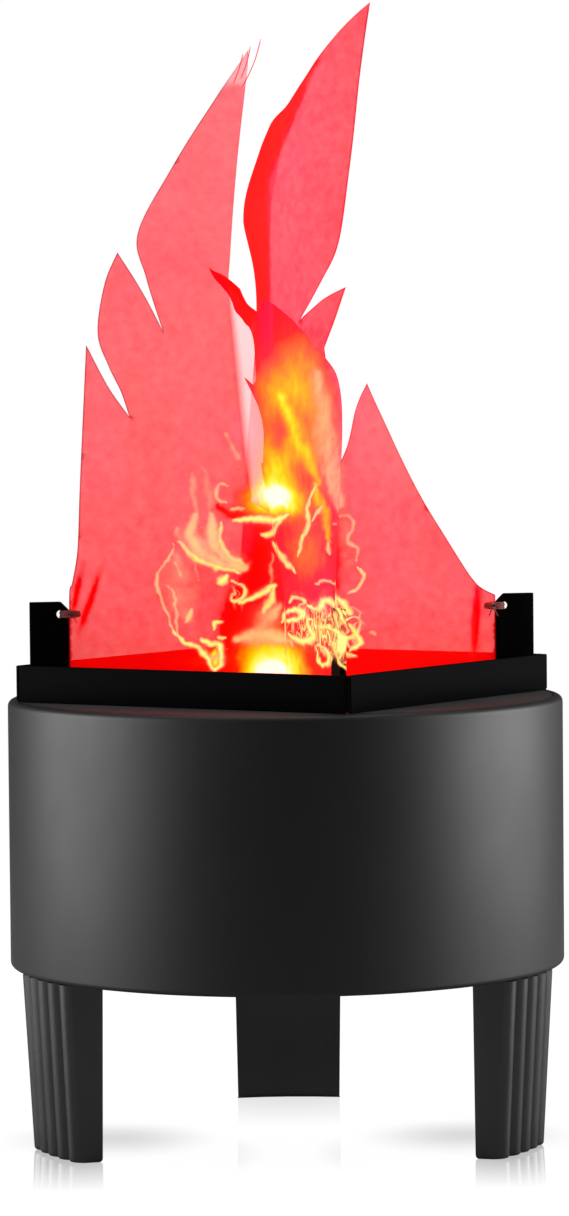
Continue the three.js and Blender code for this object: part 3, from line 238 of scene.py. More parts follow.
WELD_DISTANCE = 1e-6
FLAT_ANGLE = math.radians(0.5)
ROUND_ANGLE = math.radians(30)
CREASE_ANGLE = math.radians(35)
UNDERSIDE_DEPTH = 0.0002
FIRE_CUTS = 8


def clamp(value, low=0.0, high=1.0):
    return max(low, min(high, value))


def smooth_step(value, low, high):
    t = clamp((value - low) / (high - low))
    return t * t * (3 - 2 * t)


def link(name, data):
    """A new object in the scene."""
    made = bpy.data.objects.new(name, data)
    bpy.context.scene.collection.objects.link(made)
    return made


def mesh_piece(name, vertices, faces):
    mesh = bpy.data.meshes.new(name)
    mesh.from_pydata([tuple(v) for v in vertices], [], faces)
    mesh.validate()
    return link(name, mesh)


@contextmanager
def edited(piece):
    """Opens a piece's mesh for edits and writes it back."""
    edit = bmesh.new()
    edit.from_mesh(piece.data)
    yield edit
    edit.to_mesh(piece.data)
    edit.free()


def turned(piece, angle, axis="Z"):
    piece.data.transform(Matrix.Rotation(angle, 4, axis))


def around_z(radius, angle, z):
    return Vector((radius * math.cos(angle), radius * math.sin(angle), z))


def turns(count):
    """Even angles round a circle."""
    return [2 * math.pi * k / count for k in range(count)]


def arc(centre, radius, start, end, steps):
    angles = [start + (end - start) * i / steps for i in range(steps + 1)]
    return [(centre[0] + radius * math.cos(a), centre[1] + radius * math.sin(a)) for a in angles]


def net(count, rows, start=0):
    """Faces of an open net over rows of corners, count in each."""
    corners = [start + row * count + i for row in range(rows - 1) for i in range(count - 1)]
    return [(a, a + 1, a + count + 1, a + count) for a in corners]


def loft(rings):
    """Corners and faces of a skin over rings of places, capped at both ends."""
    vertices = [place for ring in rings for place in ring]
    count = len(rings[0])
    faces = [tuple(reversed(range(count))), tuple(range(len(vertices) - count, len(vertices)))]
    for here in range(0, len(vertices) - count, count):
        there = here + count
        for i in range(count):
            j = (i + 1) % count
            faces.append((here + i, here + j, there + j, there + i))
    return vertices, faces


def lathe(name, profile, segments):
    """A closed ring about Z from a closed list of radius and height pairs."""
    vertices = [around_z(radius, angle, z) for angle in turns(segments) for radius, z in profile]
    count = len(profile)
    faces = []
    for here in range(0, len(vertices), count):
        there = (here + count) % len(vertices)
        for i in range(count):
            j = (i + 1) % count
            faces.append((here + i, there + i, there + j, here + j))
    return mesh_piece(name, vertices, faces)


def bar(name, radius, low, high, segments, centre=(0, 0)):
    """An upright round bar."""
    rings = [[around_z(radius, angle, z) for angle in turns(segments)] for z in (low, high)]
    piece = mesh_piece(name, *loft(rings))
    piece.data.transform(Matrix.Translation((centre[0], centre[1], 0)))
    return piece


def block(name, low, high, turn=0.0):
    """A box between two corners, turned about Z."""
    corners = [(x, y, z) for z in (low[2], high[2]) for y in (low[1], high[1]) for x in (low[0], high[0])]
    faces = [(0, 2, 3, 1), (4, 5, 7, 6), (0, 1, 5, 4), (1, 3, 7, 5), (3, 2, 6, 7), (2, 0, 4, 6)]
    piece = mesh_piece(name, corners, faces)
    turned(piece, turn)
    return piece


def apply_modifiers(piece):
    graph = bpy.context.evaluated_depsgraph_get()
    mesh = bpy.data.meshes.new_from_object(piece.evaluated_get(graph))
    old = piece.data
    piece.modifiers.clear()
    piece.data = mesh
    mesh.name = piece.name
    bpy.data.meshes.remove(old)


def boolean(piece, tools, operation):
    for tool in tools:
        modifier = piece.modifiers.new("cut", "BOOLEAN")
        modifier.operation = operation
        modifier.object = tool
        modifier.solver = "EXACT"
    apply_modifiers(piece)
    for tool in tools:
        bpy.data.objects.remove(tool)


def smooth(piece, angle=CREASE_ANGLE):
    """Smooth shading, with edges sharper than the angle kept sharp."""
    with edited(piece) as edit:
        for edge in edit.edges:
            faces = edge.link_faces
            edge.smooth = len(faces) != 2 or faces[0].normal.angle(faces[1].normal, 0) < angle
        for face in edit.faces:
            face.smooth = True


def bevel(piece, width, segments=2):
    """Rounds a piece's sharp edges."""
    with edited(piece) as edit:
        bmesh.ops.remove_doubles(edit, verts=edit.verts, dist=WELD_DISTANCE)
        bmesh.ops.dissolve_limit(edit, angle_limit=FLAT_ANGLE, verts=edit.verts, edges=edit.edges)
    modifier = piece.modifiers.new("round", "BEVEL")
    modifier.width = width
    modifier.segments = segments
    modifier.limit_method = "ANGLE"
    modifier.angle_limit = ROUND_ANGLE
    apply_modifiers(piece)
    smooth(piece)


def refined(node, width, seat=None):
    """A copy of a node with rounded edges, which stands for it. Its underside can reach down to a seat."""
    piece = link("fine_" + node, nodes[node].data.copy())
    if seat is not None:
        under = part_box(node)[0].z
        for vertex in piece.data.vertices:
            if vertex.co.z < under + UNDERSIDE_DEPTH:
                vertex.co.z = seat
    bevel(piece, width)
    finish_piece(piece, nodes[node]["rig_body"], slot_of[node], node)
    return piece


def paint(piece, layers):
    """Stores values for each corner of a piece's mesh, for its material to read."""
    for label, values in layers.items():
        layer = piece.data.attributes.new(label, "FLOAT", "POINT")
        layer.data.foreach_set("value", [float(value) for value in values])


def paint_fire(piece):
    """Marks how the fire's painted light plays on a piece."""
    paint(piece, fire_on([vertex.co for vertex in piece.data.vertices]))


def light_by_fire(piece):
    """Cuts a piece's faces down to the fire's step and gives it the material with the fire's painted light.
    """
    with edited(piece) as edit:
        bmesh.ops.triangulate(edit, faces=edit.faces)
        for _ in range(FIRE_CUTS):
            long_edges = [edge for edge in edit.edges if edge.calc_length() > FIRE_STEP]
            if not long_edges:
                break
            bmesh.ops.subdivide_edges(edit, edges=long_edges, cuts=1)
            bmesh.ops.triangulate(edit, faces=edit.faces)
    paint_fire(piece)
    piece.data.materials[0] = MATERIALS["lit_frame"]


# Materials

WHITE = (1, 1, 1, 1)
DUST = (0.16, 0.155, 0.15)
GRAIN_DEPTH = 0.00004


def wire(tree, node, inputs):
    """Links or sets inputs of a node."""
    for key, value in inputs.items():
        if isinstance(value, bpy.types.NodeSocket):
            tree.links.new(value, node.inputs[key])
        else:
            node.inputs[key].default_value = value


def add(tree, kind, inputs=None, output=0, **settings):
    """Adds a node, sets it up, and gives back one of its outputs."""
    made = tree.nodes.new("ShaderNode" + kind)
    for key, value in settings.items():
        setattr(made, key, value)
    wire(tree, made, inputs or {})
    return made.outputs[output]


def math_node(tree, operation, *values, clamp_result=False):
    return add(tree, "Math", dict(enumerate(values)), operation=operation, use_clamp=clamp_result)


def product(tree, first, second, clamp_result=False):
    return math_node(tree, "MULTIPLY", first, second, clamp_result=clamp_result)


def greatest(tree, first, second, clamp_result=False):
    return math_node(tree, "MAXIMUM", first, second, clamp_result=clamp_result)


def mapped(tree, value, from_low, from_high, to_low=0.0, to_high=1.0, kind="SMOOTHSTEP"):
    inputs = dict(enumerate((value, from_low, from_high, to_low, to_high)))
    return add(tree, "MapRange", inputs, interpolation_type=kind)


def noise(tree, place, scale, detail=2.0, roughness=0.5, distortion=0.0):
    inputs = {"Vector": place, "Scale": scale, "Detail": detail, "Roughness": roughness}
    return add(tree, "TexNoise", {**inputs, "Distortion": distortion})


def scaled(tree, place, factors):
    return add(tree, "Mapping", {"Vector": place, "Scale": factors})


def ramp(tree, value, stops):
    made = tree.nodes.new("ShaderNodeValToRGB")
    tree.links.new(value, made.inputs[0])
    colours = made.color_ramp.elements
    while len(colours) < len(stops):
        colours.new(0.5)
    for element, (position, colour) in zip(colours, stops):
        element.position = position
        element.color = (*colour, 1)
    return made.outputs[0]


def shades(tree, value, low, high, colour, dark, light):
    """Shades of a colour, from dark to light times it, as a value runs from low to high."""
    ends = [tuple(clamp(channel * factor) for channel in colour) for factor in (dark, light)]
    return ramp(tree, value, [(low, ends[0]), (high, ends[1])])


def mixed_colour(tree, share, first, second):
    """A blend of two colours, each a socket or three numbers."""
    ends = [end if isinstance(end, bpy.types.NodeSocket) else (*end, 1) for end in (first, second)]
    return add(tree, "Mix", {0: share, 6: ends[0], 7: ends[1]}, 2, data_type="RGBA")


def bump(tree, height, strength, distance):
    return add(tree, "Bump", {"Height": height, "Strength": strength, "Distance": distance})


def shader_of(material):
    tree = material.node_tree
    return tree, tree.nodes["Principled BSDF"]


def new_material(name):
    material = bpy.data.materials.new(name)
    material.use_nodes = True
    tree, shader = shader_of(material)
    place = add(tree, "TexCoord", output="Object")
    return material, tree, shader, place


def moulded(name, colour, rough, grain=2600.0, dust=0.0, shine=0.5):
    """Moulded plastic: fine grain, uneven gloss, and a little dust on what faces up."""
    material, tree, shader, place = new_material(name)
    broad = noise(tree, place, 38, 4, 0.6)
    fine = noise(tree, place, grain, 1)
    tone = shades(tree, broad, 0.25, 0.8, colour, 0.8, 1.25)
    if dust:
        facing = add(tree, "SeparateXYZ", {0: add(tree, "NewGeometry", output="Normal")}, "Z")
        patches = mapped(tree, broad, 0.4, 0.75, 0, dust)
        tone = mixed_colour(tree, product(tree, mapped(tree, facing, 0.6, 1.0), patches), tone, DUST)
    wire(tree, shader, {
        "Base Color": tone,
        "Roughness": mapped(tree, broad, 0.2, 0.85, rough - 0.04, rough + 0.06, "LINEAR"),
        "Specular IOR Level": shine,
        "Normal": bump(tree, fine, 0.25, GRAIN_DEPTH),
    })
    return material


def metal(name, colour, rough, stretch=(1, 1, 12), scale=900.0):
    """Bare metal with fine drawn marks and uneven polish."""
    material, tree, shader, place = new_material(name)
    marks = noise(tree, scaled(tree, place, stretch), scale, 3)
    cloud = noise(tree, place, 120, 3)
    wire(tree, shader, {
        "Base Color": shades(tree, marks, 0.2, 0.8, colour, 0.75, 1.12),
        "Roughness": mapped(tree, cloud, 0.2, 0.8, rough - 0.06, rough + 0.1, "LINEAR"),
        "Metallic": 1.0,
        "Normal": bump(tree, marks, 0.3, 0.00003),
    })
    return material


def wound(name, colour, rough, pitch, metallic=0.0):
    """Wire, tape or ribs laid side by side at a pitch along Z."""
    material, tree, shader, place = new_material(name)
    bands = {"Vector": place, "Scale": math.pi / (20 * pitch), "Distortion": 0.6}
    wave = add(tree, "TexWave", bands, wave_type="BANDS", bands_direction="Z")
    wire(tree, shader, {
        "Base Color": shades(tree, wave, 0.1, 0.7, colour, 0.4, 1.0),
        "Roughness": mapped(tree, wave, 0, 1, rough + 0.15, rough, "LINEAR"),
        "Metallic": metallic,
        "Normal": bump(tree, wave, 0.5, 0.0001),
    })
    return material


def circuit(name, colour, track):
    """A board's coloured mask with paler tracks under it."""
    material, tree, shader, place = new_material(name)
    inputs = {"Vector": place, "Scale": 260.0}
    cells = add(tree, "TexVoronoi", inputs, distance="MANHATTAN", feature="DISTANCE_TO_EDGE")
    lines = mapped(tree, cells, 0.05, 0.12, 1, 0)
    wire(tree, shader, {
        "Base Color": mixed_colour(tree, lines, colour, track),
        "Roughness": mapped(tree, noise(tree, place, 400), 0.3, 0.7, 0.32, 0.48),
        "Normal": bump(tree, lines, 0.3, GRAIN_DEPTH),
    })
    return material


def lens(name, colour):
    """A lit lamp lens with a slightly cloudy tint."""
    material, tree, shader, place = new_material(name)
    deep = tuple(channel * 0.85 for channel in colour)
    lit = ramp(tree, noise(tree, place, 700), [(0.2, deep), (0.8, (1.0, 0.86, 0.5))])
    wire(tree, shader, {"Base Color": lit, "Emission Color": lit})
    wire(tree, shader, {"Emission Strength": 2.5, "Roughness": 0.25})
    return material


def twisted(name, colour):
    """Waxed sewing thread."""
    material, tree, shader, place = new_material(name)
    strands = noise(tree, place, 3200)
    wire(tree, shader, {
        "Base Color": shades(tree, strands, 0.3, 0.7, colour, 0.6, 1.0),
        "Roughness": mapped(tree, strands, 0.2, 0.8, 0.5, 0.7),
        "Normal": bump(tree, strands, 0.6, 0.0001),
    })
    return material


# The silk

RED = (0.93, 0.004, 0.072)
FOOT_RED = (0.93, 0.003, 0.002)
FOOT_REACH = 0.014
HEM_RED = (0.25, 0.0, 0.03)
VEIL_COVER = 0.3
# Colours of the fire's painted glow, as its heat rises
FIRE_STOPS = [
    (0.0, (0.66, 0.0, 0.0)),
    (0.2, (0.95, 0.015, 0.0)),
    (0.38, (1.0, 0.16, 0.0)),
    (0.55, (1.0, 0.42, 0.0)),
    (0.72, (1.0, 0.78, 0.01)),
    (0.86, (1.0, 0.97, 0.12)),
    (1.0, (1.0, 1.0, 0.86)),
]
# Colours of the painted licks of flame, as they brighten
LICK_STOPS = [
    (0.0, (0.8, 0.02, 0.0)),
    (0.3, (1.0, 0.34, 0.16)),
    (0.6, (1.0, 0.6, 0.2)),
    (0.8, (1.0, 0.86, 0.13)),
    (1.0, (1.0, 1.0, 0.32)),
]


def painted(tree, layer):
    """A value that a piece's mesh carries at its corners."""
    return add(tree, "Attribute", output="Fac", attribute_name=layer)


def threads_of_fire(tree, place, scale, width):
    """Thin winding lines, where a field of noise passes through its middle value."""
    field = noise(tree, place, scale, 0.0, distortion=0.55)
    off_middle = math_node(tree, "ABSOLUTE", math_node(tree, "SUBTRACT", field, 0.5))
    return mapped(tree, off_middle, 0.0, width, 1.0, 0.0)


def licks_of_fire(tree, place):
    """How brightly the painted licks and the fine threads of fire show."""
    flicker = math_node(tree, "MULTIPLY_ADD", noise(tree, place, 300, 3), 0.9, 0.55)
    coarse = threads_of_fire(tree, place, 240, 0.12)
    fine = product(tree, threads_of_fire(tree, place, 420, 0.11), 0.6)
    tangled = mapped(tree, painted(tree, "tangle"), 0.2, 1.1, 0.0, 1.1, "LINEAR")
    fibres = product(tree, tangled, greatest(tree, coarse, fine))
    return product(tree, greatest(tree, painted(tree, "lick"), fibres), flicker, clamp_result=True)


def silk(name):
    """Sheer red silk that lets the light through, with a painted glow of the lamp inside all over it and
    the painted light of the fire that plays on it.
    """
    material, tree, shader, place = new_material(name)
    weave = noise(tree, scaled(tree, place, (1, 1, 0.3)), 1500)
    mottle = noise(tree, place, 420, 3, 0.6)
    cloud = noise(tree, place, 55, 3)
    height = add(tree, "SeparateXYZ", {0: place}, "Z")
    hem = painted(tree, "hem")
    waver = mapped(tree, noise(tree, place, 300, 3), 0.2, 0.8, 0.85, 1.15, "LINEAR")
    heat = product(tree, painted(tree, "glow"), waver, clamp_result=True)
    lick = licks_of_fire(tree, place)
    doubled = greatest(tree, painted(tree, "pleat"), painted(tree, "ember"))
    # The fire's painted glow, as well as doubled cloth, turns the base colour towards the foot's deeper red
    warm = greatest(tree, doubled, product(tree, heat, 1.5), clamp_result=True)
    tone = mixed_colour(tree, mapped(tree, height, FOOT_TOP, FOOT_TOP + FOOT_REACH), FOOT_RED, RED)
    tone = mixed_colour(tree, warm, tone, FOOT_RED)
    tone = mixed_colour(tree, product(tree, hem, 0.8), tone, HEM_RED)
    fire, flare = ramp(tree, heat, FIRE_STOPS), ramp(tree, lick, LICK_STOPS)
    cover = mapped(tree, height, 0.165, 0.26, 0.86, 0.835, "LINEAR")
    for value, low, high, least, most in (
            (height, 0.112, 0.165, 0.055, 0.0),
            (mottle, 0.25, 0.75, -0.03, 0.03),
            (cloud, 0.3, 0.7, -0.016, 0.016)):
        cover = math_node(tree, "ADD", cover, mapped(tree, value, low, high, least, most, "LINEAR"))
    cover = add(tree, "Mix", {0: painted(tree, "veil"), 2: cover, 3: VEIL_COVER})
    for layer, gain in ((heat, 0.4), (lick, 0.12), (hem, 0.12), (doubled, 0.2)):
        cover = math_node(tree, "MULTIPLY_ADD", layer, gain, cover, clamp_result=True)
    wire(tree, shader, {
        "Base Color": tone,
        # A painted glow: the silk shines red all over as if lit through by the lamp inside, with the fire's
        # painted light added on top
        "Emission Color": mixed_colour(tree, mapped(tree, lick, 0.03, 0.5), fire, flare),
        "Emission Strength": math_node(tree, "SUBTRACT", 1.0, product(tree, hem, 0.55)),
        "Alpha": cover,
        "Roughness": mapped(tree, mottle, 0.2, 0.8, 0.55, 0.75, "LINEAR"),
        "Specular IOR Level": 0.08,
        "Normal": bump(tree, weave, 0.25, 0.00005),
    })
    return material


def frame_plastic(name):
    return moulded(name, (0.002, 0.002, 0.0021), 0.65, grain=3200, shine=0.015)


def fire_lit(material):
    """The material with the painted light of the fire's licks on it."""
    tree, shader = shader_of(material)
    lick = licks_of_fire(tree, add(tree, "TexCoord", output="Object"))
    behind = mapped(tree, painted(tree, "tangle"), 0.4, 0.75, 0.0, 0.9)
    wire(tree, shader, {
        "Emission Color": ramp(tree, lick, LICK_STOPS),
        "Emission Strength": greatest(tree, mapped(tree, lick, 0.12, 0.6), behind),
    })
    return material


BLACK = (0.0025, 0.0025, 0.0026)
MATERIALS = {
    # Black plastic with the fire's painted light on it, for the front post and its tie
    "lit_frame": fire_lit(frame_plastic("fire_lit_black")),
    "legs": moulded("gloss_black", BLACK, 0.3, dust=0.05, shine=0.9),
    "casing": moulded("satin_black", BLACK, 0.5, dust=0.05),
    "deck": moulded("deck_black", (0.05, 0.05, 0.051), 0.6, dust=0.05, shine=0.12),
    "frame": frame_plastic("frame_black"),
    "silk": silk("flame_silk"),
    "thread": twisted("waxed_thread", (0.32, 0.07, 0.07)),
    "screws": metal("zinc_steel", (0.55, 0.56, 0.58), 0.3),
    "fan_plastic": moulded("fan_black", (0.012, 0.012, 0.013), 0.55, 4200),
    "bearing": metal("sintered_bronze", (0.5, 0.33, 0.14), 0.45, (1, 1, 1), 2200),
    "magnet": moulded("ferrite", (0.05, 0.05, 0.055), 0.7, 6000),
    "winding": wound("copper_winding", (0.5, 0.19, 0.07), 0.35, 0.0005, 1.0),
    "bracket": metal("mill_aluminium", (0.62, 0.63, 0.65), 0.4, (14, 1, 1)),
    "lamp_board": circuit("white_board", (0.72, 0.72, 0.69), (0.6, 0.6, 0.56)),
    "led": lens("amber_lens", (1.0, 0.55, 0.12)),
    "circuit_board": circuit("green_board", (0.02, 0.15, 0.055), (0.04, 0.24, 0.09)),
    "transformer": wound("taped_winding", (0.6, 0.4, 0.05), 0.5, 0.004),
    "capacitor": moulded("shrink_sleeve", (0.02, 0.04, 0.09), 0.3),
    "terminal": moulded("terminal_green", (0.03, 0.26, 0.1), 0.5),
    "controls": moulded("control_black", (0.014, 0.014, 0.015), 0.5, 3600),
    "lead_red": moulded("lead_red", (0.4, 0.015, 0.015), 0.45),
    "lead_black": moulded("lead_black", (0.012, 0.012, 0.012), 0.45),
}
slot_of = {row["node"]: row["material_slot"] for row in frame["record"]["subparts"]}


def set_material(piece, look):
    piece.data.materials.clear()
    piece.data.materials.append(MATERIALS[look])


def finish_piece(piece, body, slot, *replaced, look=None):
    """Gives a new piece its material, its body and the nodes that it stands for."""
    set_material(piece, look or slot)
    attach(piece, body)
    if replaced:
        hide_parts(*replaced)


# The drum, its deck and its bottom plate

WALL_SEGMENTS = 192
GRILLE_SEGMENTS = 96
HOLE_SEGMENTS = 48
COLUMN_SEGMENTS = 32
RIM_CREASE = math.radians(32)
DECK_EDGE = 0.0002


def make_drum():
    inner = DRUM_RADIUS - DRUM_WALL
    deck_ledge = DRUM_TOP - DECK_THICKNESS - SEAT_GAP
    plate_ledge = PLATE_BOTTOM + PLATE_THICKNESS + SEAT_GAP
    bottom_centre = (DRUM_RADIUS - DRUM_BOTTOM_ROUND, DRUM_BOTTOM + DRUM_BOTTOM_ROUND)
    top_centre = (DRUM_RADIUS - DRUM_TOP_ROUND, DRUM_TOP - DRUM_TOP_ROUND)
    profile = [(inner, DRUM_BOTTOM)]
    profile += arc(bottom_centre, DRUM_BOTTOM_ROUND, -math.pi / 2, 0, 6)
    profile += arc(top_centre, DRUM_TOP_ROUND, 0, math.pi / 2, 8)
    profile.append((inner, DRUM_TOP))
    for top, under, width in (
            (deck_ledge, deck_ledge - LEDGE_THICKNESS, DECK_LEDGE_WIDTH),
            (plate_ledge + LEDGE_THICKNESS, plate_ledge, PLATE_LEDGE_WIDTH)):
        profile += [(inner, top), (inner - width, top), (inner - width, under), (inner, under)]
    drum = lathe("drum_body", profile, WALL_SEGMENTS)

    # The flat recess at the back, with the holes for the switch and the inlet
    face = DRUM_RADIUS - RECESS_DEPTH
    far = DRUM_RADIUS + CUT_OVERRUN
    middle = DRUM_BOTTOM + RECESS_RISE
    half = RECESS_HEIGHT / 2
    reach = RECESS_HALF_WIDTH
    wall = RECESS_WALL
    backing = block("tool", (-reach - wall, face - wall, middle - half - wall),
                    (reach + wall, DRUM_RADIUS, middle + half + wall))
    core = bar("tool", DRUM_RADIUS - DRUM_WALL / 2, DRUM_BOTTOM, DRUM_TOP, WALL_SEGMENTS)
    boolean(backing, [core], "INTERSECT")
    boolean(drum, [backing], "UNION")
    pocket = block("tool", (-reach, face, middle - half), (reach, far, middle + half))
    high = SWITCH_HOLE_HEIGHT / 2
    wide = SWITCH_HOLE_WIDTH / 2
    switch_hole = block("tool", (SWITCH_X - wide, face - 2 * wall, middle - high),
                        (SWITCH_X + wide, far, middle + high))
    inlet_hole = bar("tool", INLET_HOLE_RADIUS, -far, 2 * wall - face, HOLE_SEGMENTS)
    turned(inlet_hole, math.pi / 2, "X")
    inlet_hole.data.transform(Matrix.Translation((INLET_X, 0, middle)))
    boolean(drum, [pocket, switch_hole, inlet_hole], "DIFFERENCE")
    smooth(drum, RIM_CREASE)
    finish_piece(drum, "base", "casing", "drum_shell")


def make_deck():
    under = DRUM_TOP - DECK_THICKNESS
    low, high = under - CUT_OVERRUN, DRUM_TOP + CUT_OVERRUN
    deck = bar("deck_grille", DECK_RADIUS, under, DRUM_TOP, WALL_SEGMENTS)
    cuts = [bar("tool", GRILLE_RADIUS, low, high, GRILLE_SEGMENTS)]
    half = SLOT_WIDTH / 2
    low, high = (SLOT_CENTRE - SLOT_LENGTH / 2, -half, low), (SLOT_CENTRE + SLOT_LENGTH / 2, half, high)
    cuts += [block("tool", low, high, FRAME_TURN + angle) for angle in turns(4)]
    boolean(deck, cuts, "DIFFERENCE")
    parts = []
    step = (GRILLE_RADIUS - GRILLE_EYE) / GRILLE_RINGS
    for k in range(GRILLE_RINGS):
        near = GRILLE_EYE + k * step
        far = near + GRILLE_BAR
        profile = [(near, under), (far, under), (far, DRUM_TOP), (near, DRUM_TOP)]
        parts.append(lathe("tool", profile, GRILLE_SEGMENTS))
    half = GRILLE_BAR / 2
    low, high = (GRILLE_EYE + half, -half, under), (GRILLE_RADIUS + half, half, DRUM_TOP)
    parts += [block("tool", low, high, angle) for angle in turns(GRILLE_SPOKES)]
    foot = PLATE_BOTTOM + PLATE_THICKNESS + SEAT_GAP
    for angle in COLUMN_ANGLES:
        centre = around_z(COLUMN_CIRCLE, angle, 0)
        parts.append(bar("tool", COLUMN_RADIUS, foot, under + SEAT_GAP, COLUMN_SEGMENTS, centre))
    boolean(deck, parts, "UNION")
    bevel(deck, DECK_EDGE, 1)
    finish_piece(deck, "base", "casing", "top_deck", look="deck")


# The fluted legs

RIDGE_STEPS = 14
FOOT_LEVELS = 6
LEG_LEVELS = 8
LEG_CREASE = math.radians(50)


def leg_section(z):
    """A leg's outline at a height: a plain inner arc, and flutes along the outer one."""
    share = 1 - z / LEG_HEIGHT
    half_angle = LEG_HALF_ANGLE - LEG_TAPER_ANGLE * share
    outer = LEG_OUTER - LEG_LEAN * share
    inset = LEG_FOOT_ROUND * (1 - math.sqrt(1 - (1 - clamp(z / LEG_FOOT_ROUND)) ** 2))
    points = []
    count = LEG_RIDGES * RIDGE_STEPS
    for i in range(count + 1):
        depth = LEG_FLUTE_DEPTH * (1 - abs(math.sin(math.pi * i / RIDGE_STEPS)))
        points.append((outer - inset - depth, half_angle * LEG_INNER / outer * (2 * i / count - 1)))
    points += [(LEG_INNER + inset, half_angle * side) for side in (1, 0.5, 0, -0.5, -1)]
    return [around_z(radius, angle, z) for radius, angle in points]


def make_leg(node):
    levels = [LEG_FOOT_ROUND * i / FOOT_LEVELS for i in range(FOOT_LEVELS)]
    rise = LEG_HEIGHT - LEG_FOOT_ROUND
    levels += [LEG_FOOT_ROUND + rise * i / LEG_LEVELS for i in range(LEG_LEVELS + 1)]
    leg = mesh_piece("fluted_" + node, *loft([leg_section(z) for z in levels]))
    turned(leg, azimuth(node))
    smooth(leg, LEG_CREASE)
    finish_piece(leg, "base", "casing", node, look="legs")


# The painted light of the fire that plays on the cloth, drawn in millimetres on the upright plane through
# the axis

# Soft painted glows: centre, reach across, reach up and heat, and for a sharp border how sharp it is
GLOWS = [
    (-2.7, 110.0, 8.4, 11.6, 0.84, 4),
    (-2.9, 108.5, 4.6, 6.5, 0.7),
    (-4.5, 124.0, 4.5, 4.5, 0.3),
    (-2.6, 155.2, 7.6, 3.9, 0.7),
    (-0.2, 156.4, 4.4, 3.4, 0.22),
    (-2.0, 162.0, 5.6, 8.0, 0.6),
    (-0.5, 171.0, 4.2, 8.0, 0.33),
    (-4.5, 180.0, 3.2, 10.0, 0.16),
    (2.0, 182.5, 8.0, 7.0, 0.48),
    (9.0, 172.0, 4.6, 12.0, 0.42),
    (4.0, 191.5, 6.5, 6.5, 0.28),
    (5.0, 143.0, 6.5, 9.0, 0.36),
    (8.5, 126.0, 4.0, 4.0, 0.45),
    (-1.0, 171.0, 1.8, 5.5, -0.3),
]
